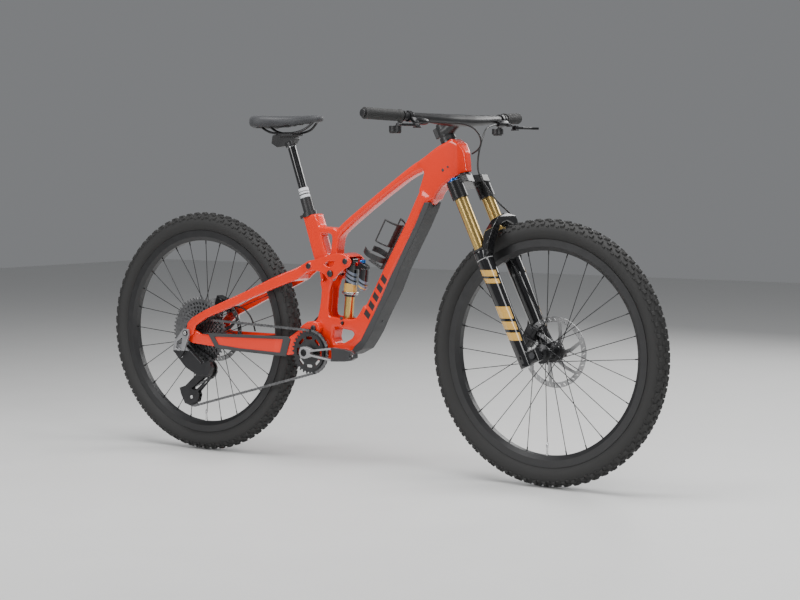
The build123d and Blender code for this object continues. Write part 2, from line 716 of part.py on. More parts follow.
chainstay = make_chainstay()
export("chainstay", chainstay)
guard_side = [
    (-577, 376), (-256, 379), (-246, 371), (-262, 318), (-432, 325), (-520, 331), (-523, 336), (-546, 373),
]
guard_plan = [
    (-577, -74), (-515, -68), (-400, -59), (-300, -53), (-246, -43), (
        -246, -48.6,
    ), (-300, -59), (-400, -65),
    (-480, -70), (-515, -75), (-560, -80), (-577, -82),
]
band = slab(guard_side, -83, -40) & deck(guard_plan, 310, 385)
band -= slab([(-524, 366), (-272, 370), (-282, 329), (-432, 335), (-508, 342)], -83, -40)
chain_guard = band - chainstay
chain_guard = max(chain_guard.solids(), key=lambda s: s.volume)
export("chainstay_guard", chain_guard)
export("rear_axle", disc(rear_axle, axle_radius, -99.0, 88.0) + disc(rear_axle, 8.5, -101.0, -97.1))

upper_side = [
    (-628, 384), (
        -634, 374,
    ), (-628, 364), (-616, 362), (-600, 372), (-590, 398), (-549, 424), (-469, 456), (-389, 490),
    (-311, 520), (-234, 550), (-200, 574), (-184, 578), (-172, 583), (-168, 593), (-172, 603), (-184, 608),
    (-200, 604), (-238, 584), (-315, 553), (-393, 517), (-473, 483), (-554, 448), (-606, 421), (-624, 404),
]
upper_inner = [
    (
        -645, 80.4,
    ), (-588, 80.4), (-550, 70), (-500, 62), (-440, 52), (-360, 44), (-290, 38), (-250, 30), (-215, 20.5),
    (-160, 20.5),
]
upper_outer = [
    (-160, 28.6), (-218, 28.6), (-290, 50), (-360, 58), (-440, 66), (-500, 76), (-550, 84), (-588, 86.4),
    (-645, 86.4),
]


def make_seatstay():
    """Two upper stays with a bridge ahead of the tyre and the rear brake's mount."""
    body = None
    for side in (-1, 1):
        plan = [(x, side * y) for x, y in upper_inner + upper_outer]
        stay = slab(upper_side, -90, 90) & deck(plan, 350, 620)
        body = stay if body is None else body + stay
    bridge = slab([(-262, 560), (-236, 572), (-226, 566), (-232, 552), (-252, 544)], -40, 40)
    bridge &= deck([(-266, -40), (-222, -26), (-222, 26), (-266, 40)], 530, 590)
    body += bridge
    body += slab([(-596, 412), (-556, 430), (-560, 462), (-600, 452)], 71, 79)
    body -= disc(stay_pivot, 8.0, -40, 40)
    body -= disc(rear_axle, axle_radius + running_gap, -95, 95)
    return body


seatstay = make_seatstay()
export("seatstay", seatstay)


def make_caliper(axle, y, angle):
    """Two-piston caliper body straddling a rotor, with its slot open towards the axle."""
    centre = (axle[0] + 90 * cos(angle), axle[1] + 90 * sin(angle))
    place = Pos(centre[0], y, centre[1]) * Rot(0, -degrees(angle), 0)
    block = place * Box(34, 28, 58)
    for step in (-14, 14):
        block += place * Pos(2, 0, step) * Rot(90, 0, 0) * Cylinder(11, 33)
    return block - place * Pos(-7, 0, 0) * Box(34, 4.4, 63)


rear_caliper = make_caliper(rear_axle, rear_rotor_y, radians(69)) - seatstay
export("rear_caliper", max(rear_caliper.solids(), key=lambda s: s.volume))


def make_rocker():
    """Two three-hole plates joined by a bridge over the shock's eye, with the pins of both ends."""
    outline = [
        (-199, 593), (
            -196, 604,
        ), (-184, 609), (-161, 613), (-124, 624), (-87, 633), (-65, 634), (-46, 628), (-33, 618),
        (-30, 606), (-38, 595), (-54, 587), (-76, 572), (-87, 559), (-104, 554), (-119, 559), (-128, 571),
        (-145, 578), (-172, 580), (-184, 578), (-196, 583),
    ]
    body = None
    for y_low, y_high in ((-36.6, -29.4), (29.4, 36.6)):
        plate = slab(outline, y_low, y_high)
        plate -= disc(rocker_pivot, 6.0, y_low, y_high)
        body = plate if body is None else body + plate
    body -= slab([(-128, 601), (-113, 609), (-88, 611), (-92, 600), (-104, 592), (-118, 595)], -37, 37)
    body += slab(
        [(-66, 634), (-46, 630.2), (-35, 625.2), (-37.6, 622.9), (-48, 627), (-66, 630)], -29.4, 29.4,
    )
    for side in (-1, 1):
        y_in, y_out = side * 20.6, side * 29.5
        body += disc(stay_pivot, 4.3, min(y_in, y_out), max(y_in, y_out))
    body += disc(shock_top, 5.0, -29.5, 29.5)
    for centre in (stay_pivot, shock_top):
        for y_low, y_high in ((-39.6, -36.6), (36.6, 39.6)):
            body += disc(centre, 9.6, y_low, y_high)
    return body


export("rocker_link", make_rocker())

# ---- shock -------------------------------------------------------------------------------
shock_line = Vector(shock_top[0] - shock_foot[0], 0, shock_top[1] - shock_foot[1])
shock_length = shock_line.length
shock_up = shock_line.normalized()


def shock_at(height, ahead=0.0, side=0.0):
    """Point up the shock from its foot, and ahead of its axis."""
    return (
        shock_foot[0] + height * shock_up.X + ahead * shock_up.Z, side,
        shock_foot[1] + height * shock_up.Z - ahead * shock_up.X,
    )


shaft = rod(shock_at(10), shock_at(84), 14.4) + rod(shock_at(84), shock_at(100), 12.0)
shaft += disc(shock_foot, 13.0, -15.0, 15.0)
shaft -= disc(shock_foot, 5.0, -20, 20)
export("shock_shaft", shaft)
can = rod(
    shock_at(78), shock_at(86), 17.0, 14.4 + running_gap,
) + rod(shock_at(86), shock_at(93), 24.4, 14.4 + running_gap)
can += rod(shock_at(93), shock_at(118), 19.6, 14.4 + running_gap) + rod(
    shock_at(118), shock_at(166), 18.4, 14.4 + running_gap,
)
can += rod(shock_at(160), shock_at(175), 18.4)
can += disc(shock_top, 11.1, -14.0, 14.0)
can += slab([
    shock_at(160, 5)[::2], shock_at(176, 5)[::2], shock_at(
        184, 40,
    )[::2], shock_at(176, 58)[::2], shock_at(166, 58)[::2],
    shock_at(162, 20)[::2],
], -9, 9)
can -= disc(shock_top, 8.4, -20, 20)
reservoir = rod(shock_at(108, 44), shock_at(165.9, 44), 14.0)
reservoir += rod(shock_at(102, 44), shock_at(108, 44), 10.0)
export("shock_body", can, reservoir - can)
knob = rod(shock_at(184.5, 38), shock_at(193, 38), 7.5)
export("shock_lever", knob + rod(shock_at(188, 40, 0), shock_at(190, 40, -17), 2.2))

# ---- fork --------------------------------------------------------------------------------


def along_steer(low, high, radius, bore=0.0, ahead=0.0, side=0.0):
    return rod(steer(low, ahead, side), steer(high, ahead, side), radius, bore)


def steer_block(points, low, high):
    """Outline (ahead, left) square to the steering axis, between two heights."""
    return extrude(steer_plane(low) * face_of(points), amount=high - low)


crown = steer_block([
    (
        -24, -36,
    ), (-30, 0), (-24, 36), (-14, 78), (2, 92), (20, 90), (34, 74), (36, 40), (30, 0), (36, -40), (34, -74),
    (20, -90), (2, -92), (-14, -78),
], 530.5, 552.0)
crown += steer_block(
    [(-28, -20), (28, -20), (28, 20), (-28, 20)], 552.0, 559.8,
) & along_steer(540, 560, 26.0)
for side in (-leg_half_spacing, leg_half_spacing):
    crown += along_steer(socket_low, socket_high, 23.0, 0.0, leg_forward, side)
for side in (-leg_half_spacing, leg_half_spacing):
    crown -= along_steer(socket_low - 1, socket_high + 12, stanchion_radius, 0.0, leg_forward, side)
for side in (-leg_half_spacing, leg_half_spacing):
    crown -= along_steer(socket_high, 562, 24.0, 0.0, leg_forward, side)
crown += along_steer(540, 744, 14.4)
crown -= along_steer(560, 745, 12.0)
export("crown_steerer", crown)
stanchions = [
    along_steer(172, socket_high - 6, stanchion_radius, 15.5, leg_forward, side)
    for side in (-leg_half_spacing, leg_half_spacing)
]
export("stanchions", *stanchions)
caps = []
for side in (-leg_half_spacing, leg_half_spacing):
    cap = along_steer(socket_high - 6, socket_high + 5, stanchion_radius - 0.4, 0.0, leg_forward, side)
    cap += along_steer(socket_high + 5, socket_high + 9, 11.0, 0.0, leg_forward, side)
    caps.append(cap)
export("fork_top_caps", *caps)

slider_bore = stanchion_radius + running_gap


def make_lowers():
    """Two magnesium legs, the arch ahead of the tyre and the axle ends."""
    body = None
    for side in (-leg_half_spacing, leg_half_spacing):
        way = 1 if side > 0 else -1
        leg = along_steer(250, seal_height - 6, 24.0, 0.0, leg_forward, side)
        leg += round_loft([steer(-22, leg_forward, side), steer(60, leg_forward, side), steer(251, leg_forward, side)],
                          [19.0, 20.5, 23.0])
        leg -= along_steer(-14, seal_height, slider_bore, 0.0, leg_forward, side)
        leg += along_steer(-22, 4, 15.0, 0.0, leg_forward, side)
        foot = [
            (-6, side - way * 14.8), (54, side - way * 14.8), (62, side - way * 4), (54, side + way * 9),
            (-6, side + way * 12),
        ]
        leg += steer_block(foot, -20, 18) - along_steer(-40, 40, 14.0, 0.0, leg_forward, side)
        body = leg if body is None else body + leg
    arch_side = [
        (10, 300), (
            24, 300,
        ), (46, 334), (70, 368), (86, 398), (84, 410), (70, 412), (56, 396), (34, 362), (10, 334),
    ]
    arch_side = [steer_side(h, a) for a, h in arch_side]
    front = Plane(origin=steer(0, 0, 0), x_dir=(0, 1, 0), z_dir=(steer_ahead[0], 0, steer_ahead[1]))
    front_view = [
        (-92, 296), (
            -88, 340,
        ), (-72, 374), (-44, 400), (0, 412), (44, 400), (72, 374), (88, 340), (92, 296), (50, 296),
        (50, 340), (40, 366), (24, 382), (0, 388), (-24, 382), (-40, 366), (-50, 340), (-50, 296),
    ]
    arch = slab(arch_side, -95, 95)
    mask = extrude(front * face_of([(y, h) for y, h in front_view]), amount=120)
    arch &= mask
    for side in (-leg_half_spacing, leg_half_spacing):
        arch -= along_steer(280, 420, 21.0, 0.0, leg_forward, side)
        arch -= along_steer(seal_height - 6.1, 430, 26.0, 0.0, leg_forward, side)
    tyre_room = disc(front_axle, tyre_radius + 6.5, -36, 36)
    body += arch - tyre_room
    body -= disc(front_axle, axle_radius + 0.02, -95, 95)
    return body


lowers = make_lowers()
export("fork_lowers", lowers)
seals = [
    along_steer(seal_height - 5.9, seal_height, 24.6, slider_bore, leg_forward, side)
    for side in (-leg_half_spacing, leg_half_spacing)
]
export("fork_seals", *seals)
export("front_axle", disc(front_axle, axle_radius, -84.0, 80.0) + disc(front_axle, 9.0, -86.5, -84.0))
front_caliper = make_caliper(front_axle, front_rotor_y, radians(152)) - lowers
export("front_caliper", max(front_caliper.solids(), key=lambda s: s.volume))

# ---- cockpit -----------------------------------------------------------------------------
headset_cap = rod(steer(head_high + 4.2), steer(head_high + 16), 23.0, 14.4 + running_gap)

bar_line = [
    (333, 0, 1020), (333, 45, 1020), (327, 150, 1024), (315, 250, 1028), (297, 326, 1031),
    (278, bar_half_width, 1034),
]
bar_radii = [17.0, 17.0, 13.5, 11.1, 11.1, 11.1]


def on_bar(y):
    """Centre of the bar at this distance from the middle."""
    for start, end in zip(bar_line, bar_line[1:]):
        if abs(y) <= end[1]:
            share = (abs(y) - start[1]) / (end[1] - start[1])
            x, z = start[0] + share * (end[0] - start[0]), start[2] + share * (end[2] - start[2])
            return Vector(x, y, z)
    return Vector(bar_line[-1][0], y, bar_line[-1][2])


left_points = [p for p in bar_line[1:]]
full = [(x, -y, z) for x, y, z in left_points[::-1]] + [bar_line[0]] + left_points
full_radii = bar_radii[:0:-1] + [bar_radii[0]] + bar_radii[1:]
handlebar = round_loft(full, full_radii)
stem = round_loft(
    [steer(702, -6), steer(704, 16), steer(709, 36), steer(711, 50)], [21.0, 20.0, 18.0, 17.5],
)
stem += rod(steer(head_high + 16.2), steer(728), 19.5)
stem += steer_block([(-30, -12), (-16, -12), (-16, 12), (-30, 12)], 692, 722)
stem -= rod(steer(head_high - 20), steer(head_high + 16.1), 60)
handlebar += stem
handlebar -= rod(steer(head_high + 16), steer(745), 14.44)
export("handlebar", handlebar)
steerer_cap = rod(steer(744.2), steer(748), 15.5) + rod(steer(738), steer(744.2), 11.5)
export("headset_covers", headset_cap, steerer_cap)

grips = []
for side in (-1, 1):
    inner, outer_end = on_bar(268 * side), on_bar(396 * side)
    axis = (outer_end - inner).normalized()
    grip = rod(inner, outer_end, 15.5) + rod(inner, inner + axis * 9, 17.5) + rod(
        outer_end - axis * 3, outer_end, 17.0,
    )
    grips.append(grip - handlebar)
export("grips", *[s for g in grips for s in g.solids()])

lever_y = 236.0
pod_y = 258.0
lever_pivots = {}
bodies, pods, blades = [], [], {}
for side in (-1, 1):
    at = on_bar(lever_y * side)
    across = (on_bar(245 * side) - on_bar(200 * side)).normalized()
    clamp_ring = rod(at - across * 6, at + across * 6, 15.5)
    reservoir_start = at + Vector(20, 0, -12) + across * 2
    reservoir_end = at + Vector(24, -52 * side, -14)
    master = round_loft(
        [reservoir_start, (reservoir_start + reservoir_end) * 0.5, reservoir_end], [9.0, 11.0, 8.0],
    )
    arm = round_loft(
        [at + Vector(14, 0, -8), at + Vector(27, 4 * side, -18), at + Vector(38, 14 * side, -24)],
        [8.0, 7.5, 6.5],
    )
    pivot = at + Vector(40, 18 * side, -25)
    lever_pivots[side] = pivot
    fork_block = Pos(*tuple(pivot)) * (Box(17, 17, 15) - Box(40, 40, 7.6) - Cylinder(2.5, 40))
    body = clamp_ring + master + arm + fork_block + Pos(*tuple(pivot)) * Cylinder(2.5, 15)
    body -= Pos(*tuple(pivot)) * (Box(40, 40, 7.6) - Cylinder(2.5, 40))
    bodies.append(body - handlebar)
    pod_at = on_bar(pod_y * side)
    ring = rod(pod_at - across * 3.5, pod_at + across * 3.5, 14.5)
    pod_centre = pod_at + Vector(-22, 6 * side, -36)
    pod = rod(pod_centre + Vector(0, 0, 9), pod_centre - Vector(0, 0, 8), 17.0)
    strut = round_loft(
        [pod_at + Vector(-4, 0, -8), pod_at + Vector(-10, 2 * side, -20), pod_centre + Vector(4, 0, 4)],
        [6.0, 6.0, 7.0],
    )
    pods.append((ring + strut + pod) - handlebar)
    tip = pivot + Vector(10, 108 * side, -8)
    blade = deck([
        (pivot.X - 6, pivot.Y - 6 * side), (pivot.X + 7, pivot.Y - 5 * side), (
            pivot.X + 13, pivot.Y + 26 * side,
        ),
        (
            tip.X - 2, tip.Y - 22 * side,
        ), (tip.X + 8, tip.Y), (tip.X + 3, tip.Y + 6 * side), (tip.X - 3, tip.Y + 2 * side),
        (tip.X - 11, tip.Y - 24 * side), (
            pivot.X + 3, pivot.Y + 28 * side,
        ), (pivot.X - 7, pivot.Y + 8 * side),
    ], pivot.Z - 3.5, pivot.Z + 3.5)
    blades[side] = blade - Pos(*tuple(pivot)) * Cylinder(2.5 + running_gap, 40)
export("brake_lever_bodies", *[s for b in bodies for s in b.solids()])
export("brake_lever_right", blades[-1])
export("brake_lever_left", blades[1])

pod_right = on_bar(-pod_y) + Vector(-22, -6, -36)
pod_left = on_bar(pod_y) + Vector(-22, 6, -36)
buttons = {
    "shift_button_upper": pod_right + Vector(7, 0, 0),
    "shift_button_lower": pod_right + Vector(-7, 0, 0),
    "dropper_button": pod_left,
}
pod_shape = pods[0] + pods[1]
for name, centre in buttons.items():
    half_x = 5.4 if name != "dropper_button" else 9.0
    pocket = Pos(centre.X, centre.Y, centre.Z - 6) * Box(2 * half_x + 0.8, 20.8, 10)
    pod_shape -= pocket
    button = Pos(centre.X, centre.Y, centre.Z - 8.2) * Box(2 * half_x, 20, 7)
    export(name, fillet(button.edges().group_by(Axis.Z)[0], 2.0))
export("control_pods", *pod_shape.solids())

# ---- brake hoses -------------------------------------------------------------------------
hose_radius = 2.5
left_start = on_bar(lever_y) + Vector(24, -53, -14)
front_hose = hose([
    tuple(left_start), (356, 130, 1008), (370, 76, 1000), (385, 30, 968), (388, 4, 918), (390, 0, 868),
    tuple(steer(457, 60, 18)), tuple(steer(415, 70, 50)), tuple(steer(372, 66, 84)),
    tuple(steer(322, 30, 99)), tuple(steer(262, 6, 101)), tuple(steer(200, -6, 99)),
    tuple(steer(140, -16, 92)), tuple(steer(98, -34, 78)), tuple(steer(74, -44, 62)),
], hose_radius)
right_start = on_bar(-lever_y) + Vector(24, 53, -14)
bar_hose = hose([
    tuple(right_start), (358, -118, 1010), (378, -70, 1012), (400, -30, 998), (408, -8, 968), (396, 4, 938),
    (366, 8, 926),
], hose_radius)
export("handlebar_hoses", front_hose, bar_hose)
pivot_hose = hose(
    [(-162.5, 12, 446), (-180, 14, 441), (-200, 24, 432), (-224, 36, 416), (-240, 42, 394)], hose_radius,
)
caliper_hose = hose([
    (-470, 58, 376), (-476, 57, 402), (-490, 57, 426), (-512, 58, 443), (-536, 61, 451), (-559, 62, 450),
], hose_radius)
export("rear_brake_hose", pivot_hose, caliper_hose)
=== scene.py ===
import json
from math import cos, pi, radians, sin

import bmesh
import bpy
import numpy as np
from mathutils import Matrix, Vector


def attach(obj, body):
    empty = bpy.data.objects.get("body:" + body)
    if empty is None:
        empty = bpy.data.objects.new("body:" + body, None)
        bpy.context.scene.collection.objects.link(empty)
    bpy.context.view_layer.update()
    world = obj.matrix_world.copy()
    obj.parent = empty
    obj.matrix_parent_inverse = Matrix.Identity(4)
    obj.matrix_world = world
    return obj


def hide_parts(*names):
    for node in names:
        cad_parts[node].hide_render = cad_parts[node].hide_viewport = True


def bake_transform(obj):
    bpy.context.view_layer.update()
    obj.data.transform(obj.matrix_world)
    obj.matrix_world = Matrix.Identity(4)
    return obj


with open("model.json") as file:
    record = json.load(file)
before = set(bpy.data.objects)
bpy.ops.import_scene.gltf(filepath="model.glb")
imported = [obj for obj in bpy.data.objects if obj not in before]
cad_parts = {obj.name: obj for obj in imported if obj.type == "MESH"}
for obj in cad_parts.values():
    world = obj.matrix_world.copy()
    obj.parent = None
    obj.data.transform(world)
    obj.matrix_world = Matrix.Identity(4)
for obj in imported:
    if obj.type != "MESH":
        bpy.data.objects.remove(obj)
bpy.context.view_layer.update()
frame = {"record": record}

print("frame loaded")

mm = 0.001
frontAxle = np.array([0.622, 0.0, 0.374])
rearAxle = np.array([-0.622, 0.0, 0.374])

# The three slanted lines of the bicycle: the foot and the unit direction of each.
steerFoot, steerUp = (0.5823, 0.0, 0.35506), (-0.4305, 0.0, 0.9026)
shockFoot, shockUp = (-0.066, 0.0, 0.427), (0.0974, 0.0, 0.9952)
postFoot, postUp = (-0.206, 0.0, 0.745), (-0.3256, 0.0, 0.9455)


# Foot plus a height along the line, a distance ahead, square to it, and one to the left, in millimetres.
def placeOn(foot, up, height, ahead, left):
    return np.array([
        foot[0] + (up[0] * height + up[2] * ahead) * mm, left * mm,
        foot[2] + (up[2] * height - up[0] * ahead) * mm,
    ])


def onSteering(height, ahead=0.0, left=0.0):  # along the fork and its steerer
    return placeOn(steerFoot, steerUp, height, ahead, left)


def onShock(height, ahead=0.0, left=0.0):  # from the shock's foot towards its head
    return placeOn(shockFoot, shockUp, height, ahead, left)


def onPost(height):  # from the seat clamp upwards
    return placeOn(postFoot, postUp, height, 0.0, 0.0)


# The bar's centre line: straight between the given points, mirrored about the middle.
barPoints = np.array([
    (333, 0, 1020), (333, 45, 1020), (327, 150, 1024), (315, 250, 1028), (297, 326, 1031), (278, 400, 1034),
])


# The point of the bar at a distance to the left: the line's other two places at that distance.
def onBar(y):
    along = abs(y)
    return np.array([
        np.interp(along, barPoints[:, 1], barPoints[:, 0]), y,
        np.interp(along, barPoints[:, 1], barPoints[:, 2]),
    ]) * mm


# Materials
# A shader node with the given settings.
def node(tree, kind, **settings):
    made = tree.nodes.new(kind)
    for key, value in settings.items():
        setattr(made, key, value)
    return made


# Value between two limits is 1, outside is 0: greater-than times less-than.
def between(tree, value, low, high):
    above = node(tree, "ShaderNodeMath", operation="GREATER_THAN")
    below = node(tree, "ShaderNodeMath", operation="LESS_THAN")
    both = node(tree, "ShaderNodeMath", operation="MULTIPLY")
    tree.links.new(value, above.inputs[0])
    tree.links.new(value, below.inputs[0])
    above.inputs[1].default_value = low
    below.inputs[1].default_value = high
    tree.links.new(above.outputs[0], both.inputs[0])
    tree.links.new(below.outputs[0], both.inputs[1])
    return both.outputs[0]


# Distance of a point along a direction from an origin: the dot product of their difference.
def alongLine(tree, origin, direction):
    place = node(tree, "ShaderNodeTexCoord")
    offset = node(tree, "ShaderNodeVectorMath", operation="SUBTRACT")
    dot = node(tree, "ShaderNodeVectorMath", operation="DOT_PRODUCT")
    tree.links.new(place.outputs["Object"], offset.inputs[0])
    offset.inputs[1].default_value = [float(v) for v in origin]
    tree.links.new(offset.outputs[0], dot.inputs[0])
    dot.inputs[1].default_value = [float(v) for v in direction]
    return dot.outputs["Value"]


# Under and over mixed by a factor; either may be a colour or a socket.
def mixColor(tree, factor, under, over):
    mix = node(tree, "ShaderNodeMix", data_type="RGBA")
    tree.links.new(factor, mix.inputs[0])
    for socket, value in ((mix.inputs[6], under), (mix.inputs[7], over)):
        if isinstance(value, tuple):
            socket.default_value = (*value, 1.0)
        else:
            tree.links.new(value, socket)
    return mix.outputs[2]


# A finish: two close colours and two roughness limits mixed by a noise, and a fine noise as bump.
def finish(name, color, tint, rough=(0.3, 0.4), metallic=0.0, coat=0.0, coatRough=0.05, scale=40.0,
           bumpScale=900.0, bump=0.05, stretch=(1, 1, 1), sheen=0.0, stripes=None, pattern="noise"):
    material = bpy.data.materials.new(name)
    material.use_nodes = True
    tree = material.node_tree
    shader = tree.nodes["Principled BSDF"]
    place = node(tree, "ShaderNodeTexCoord")
    mapping = node(tree, "ShaderNodeMapping")
    mapping.inputs["Scale"].default_value = stretch
    tree.links.new(place.outputs["Object"], mapping.inputs["Vector"])
    broad = node(tree, "ShaderNodeTexNoise")
    broad.inputs["Scale"].default_value = scale
    broad.inputs["Detail"].default_value = 4.0
    tree.links.new(mapping.outputs[0], broad.inputs["Vector"])
    painted = mixColor(tree, broad.outputs["Fac"], color, tint)
    roughRange = node(tree, "ShaderNodeMapRange")
    roughRange.inputs["To Min"].default_value = rough[0]
    roughRange.inputs["To Max"].default_value = rough[1]
    tree.links.new(broad.outputs["Fac"], roughRange.inputs["Value"])
    if pattern == "cells":
        fine = node(tree, "ShaderNodeTexVoronoi", feature="DISTANCE_TO_EDGE")
        fineOut = fine.outputs["Distance"]
    elif pattern == "weave":
        fine = node(tree, "ShaderNodeTexWave", wave_type="BANDS", bands_direction="DIAGONAL")
        fineOut = fine.outputs["Fac"]
    else:
        fine = node(tree, "ShaderNodeTexNoise")
        fine.inputs["Detail"].default_value = 3.0
        fineOut = fine.outputs["Fac"]
    fine.inputs["Scale"].default_value = bumpScale
    tree.links.new(mapping.outputs[0], fine.inputs["Vector"])
    relief = node(tree, "ShaderNodeBump")
    relief.inputs["Strength"].default_value = bump
    relief.inputs["Distance"].default_value = 0.0005
    tree.links.new(fineOut, relief.inputs["Height"])
    if stripes:
        painted = stripes(tree, painted)
    tree.links.new(painted, shader.inputs["Base Color"])
    tree.links.new(roughRange.outputs[0], shader.inputs["Roughness"])
    tree.links.new(relief.outputs[0], shader.inputs["Normal"])
    shader.inputs["Metallic"].default_value = metallic
    shader.inputs["Coat Weight"].default_value = coat
    shader.inputs["Coat Roughness"].default_value = coatRough
    shader.inputs["Sheen Weight"].default_value = sheen
    return material


# Painted marks: (origin, direction, low, high) limits that must all hold, with the colour inside them.
def marks(shapes):
    def paint(tree, base):
        result = base
        for limits, inside in shapes:
            mask = None
            for origin, direction, low, high in limits:
                part = between(tree, alongLine(tree, origin, direction), low, high)
                if mask is None:
                    mask = part
                    continue
                both = node(tree, "ShaderNodeMath", operation="MULTIPLY")
                tree.links.new(mask, both.inputs[0])
                tree.links.new(part, both.inputs[1])
                mask = both.outputs[0]
            result = mixColor(tree, mask, result, inside)
        return result
    return paint


finishes = {
    "frame_paint": finish("coralPaint", (0.84, 0.032, 0.006), (0.78, 0.025, 0.004), (0.22, 0.30), coat=1.0,
                          coatRough=0.03, scale=300, bumpScale=1400, bump=0.02),
    "guard_rubber": finish("guardRubber", (0.030, 0.031, 0.033), (0.045, 0.046, 0.048), (0.5, 0.65),
                           bumpScale=260, bump=0.5, pattern="cells"),
    "satin_black": finish(
        "satinBlack", (0.014, 0.014, 0.015), (0.022, 0.022, 0.023), (0.32, 0.45), bump=0.08,
    ),
    "gloss_black": finish("glossBlack", (0.006, 0.006, 0.007), (0.010, 0.010, 0.011), (0.10, 0.18),
                          coat=0.6, scale=80, bump=0.02),
    "gold_coat": finish("goldCoat", (0.74, 0.52, 0.19), (0.62, 0.42, 0.14), (0.20, 0.30), metallic=1.0,
                        stretch=(1, 1, 0.1), scale=60, bump=0.03),
    "blue_anodised": finish(
        "blueAnodised", (0.03, 0.16, 0.55), (0.04, 0.22, 0.65), (0.22, 0.32), metallic=1.0, bump=0.05,
    ),
    "pivot_steel": finish(
        "pivotSteel", (0.055, 0.056, 0.060), (0.10, 0.10, 0.105), (0.28, 0.4), metallic=1.0, bump=0.05,
    ),
    "cage_plastic": finish(
        "cagePlastic", (0.016, 0.016, 0.017), (0.026, 0.026, 0.027), (0.35, 0.5), bump=0.15,
    ),
    "hose_jacket": finish("hoseJacket", (0.010, 0.010, 0.010), (0.018, 0.018, 0.018), (0.35, 0.45), bump=0.1),
    "lever_alloy": finish(
        "leverAlloy", (0.020, 0.020, 0.021), (0.034, 0.034, 0.036), (0.25, 0.38), metallic=0.6, bump=0.06,
    ),
    "tyre_rubber": finish("tyreRubber", (0.014, 0.014, 0.014), (0.024, 0.0235, 0.023), (0.62, 0.80),
                          scale=25, bumpScale=1500, bump=0.35),
    "rim_carbon": finish("rimCarbon", (0.012, 0.012, 0.013), (0.020, 0.020, 0.021), (0.30, 0.42),
                         pattern="weave", bumpScale=500, bump=0.04),
    "hub_black": finish(
        "hubBlack", (0.012, 0.012, 0.013), (0.022, 0.022, 0.023), (0.22, 0.35), metallic=0.5, bump=0.05,
    ),
    "spoke_steel": finish(
        "spokeSteel", (0.020, 0.020, 0.021), (0.040, 0.040, 0.042), (0.25, 0.35), metallic=0.8, bump=0.03,
    ),
    "rotor_steel": finish("rotorSteel", (0.30, 0.30, 0.31), (0.40, 0.40, 0.40), (0.28, 0.42), metallic=0.9,
                          scale=500, bumpScale=2500, bump=0.12),
    "crank_carbon": finish("crankCarbon", (0.030, 0.030, 0.032), (0.045, 0.045, 0.048), (0.28, 0.4),
                           coat=0.3, pattern="weave", bumpScale=700, bump=0.05),
    "ring_alloy": finish(
        "ringAlloy", (0.05, 0.05, 0.052), (0.08, 0.08, 0.083), (0.3, 0.42), metallic=0.9, bump=0.06,
    ),
    "cog_steel": finish(
        "cogSteel", (0.08, 0.08, 0.085), (0.30, 0.30, 0.305), (0.25, 0.4), metallic=1.0, scale=120,
        bump=0.06,
    ),
    "derailleur_alloy": finish("derailleurAlloy", (0.022, 0.022, 0.024), (0.040, 0.040, 0.042),
                               (0.28, 0.42), metallic=0.5, bump=0.06),
    "pulley_plastic": finish(
        "pulleyPlastic", (0.02, 0.02, 0.021), (0.035, 0.035, 0.036), (0.4, 0.55), bump=0.1,
    ),
    "grip_rubber": finish("gripRubber", (0.018, 0.018, 0.018), (0.028, 0.028, 0.028), (0.6, 0.75), bump=0.3),
    "saddle_cover": finish("saddleCover", (0.020, 0.021, 0.024), (0.032, 0.033, 0.037), (0.45, 0.6),
                           bumpScale=1300, bump=0.35, sheen=0.15),
    "rail_metal": finish(
        "railMetal", (0.03, 0.03, 0.031), (0.055, 0.055, 0.057), (0.25, 0.38), metallic=0.9, bump=0.04,
    ),
    "post_black": finish(
        "postBlack", (0.008, 0.008, 0.009), (0.012, 0.012, 0.013), (0.08, 0.15), coat=0.5, bump=0.02,
    ),
}
middle, forward, leftward, upward, rightward = (0, 0, 0), (1, 0, 0), (0, 1, 0), (0, 0, 1), (0, -1, 0)
gold = (0.62, 0.37, 0.09)
tubeUp, tubeAhead = (0.488, 0, 0.873), (0.873, 0, -0.488)

# Five slanted dark bars on each side of the down tube.
tubeBar = {
    "first": 343, "step": 30, "count": 5, "length": 18, "slant": (0.26, -0.146),
    "color": (0.035, 0.030, 0.030),
}
barSlant = (tubeUp[0] + tubeBar["slant"][0], 0, tubeUp[2] + tubeBar["slant"][1])
tubeBars = []
for i in range(tubeBar["count"]):
    low = (tubeBar["first"] + i * tubeBar["step"]) * mm
    for sideways in (rightward, leftward):
        tubeBars.append(([
            (middle, barSlant, low, low + tubeBar["length"] * mm), (middle, tubeAhead, -0.212, -0.189),
            (middle, sideways, 0.022, 0.034),
        ], tubeBar["color"]))
framePaint = finish("coralPaintMarked", (0.84, 0.032, 0.006), (0.78, 0.025, 0.004), (0.22, 0.30), coat=1.0,
                    coatRough=0.03, scale=300, bumpScale=1400, bump=0.02, stripes=marks(tubeBars))
# Gold blocks with slanted ends and a thin silver line on the outer face of both fork legs.
legBlocks = ((64, 88), (97, 121), (130, 166), (236, 250), (257, 276))
legMarks = []
slanted = (steerUp[0] + 0.45 * steerUp[2], 0, steerUp[2] - 0.45 * steerUp[0])
for sideways in (rightward, leftward):
    for low, high in legBlocks:
        legMarks.append(([(steerFoot, slanted, low * mm, high * mm), (middle, sideways, 0.076, 0.1)], gold))
    legMarks.append(([(steerFoot, steerUp, 0.3015, 0.3035), (middle, sideways, 0.03, 0.1)], (0.4, 0.4, 0.4)))
forkPaint = finish("forkPaint", (0.006, 0.006, 0.007), (0.010, 0.010, 0.011), (0.10, 0.18), coat=0.6,
                   bump=0.02, stripes=marks(legMarks))
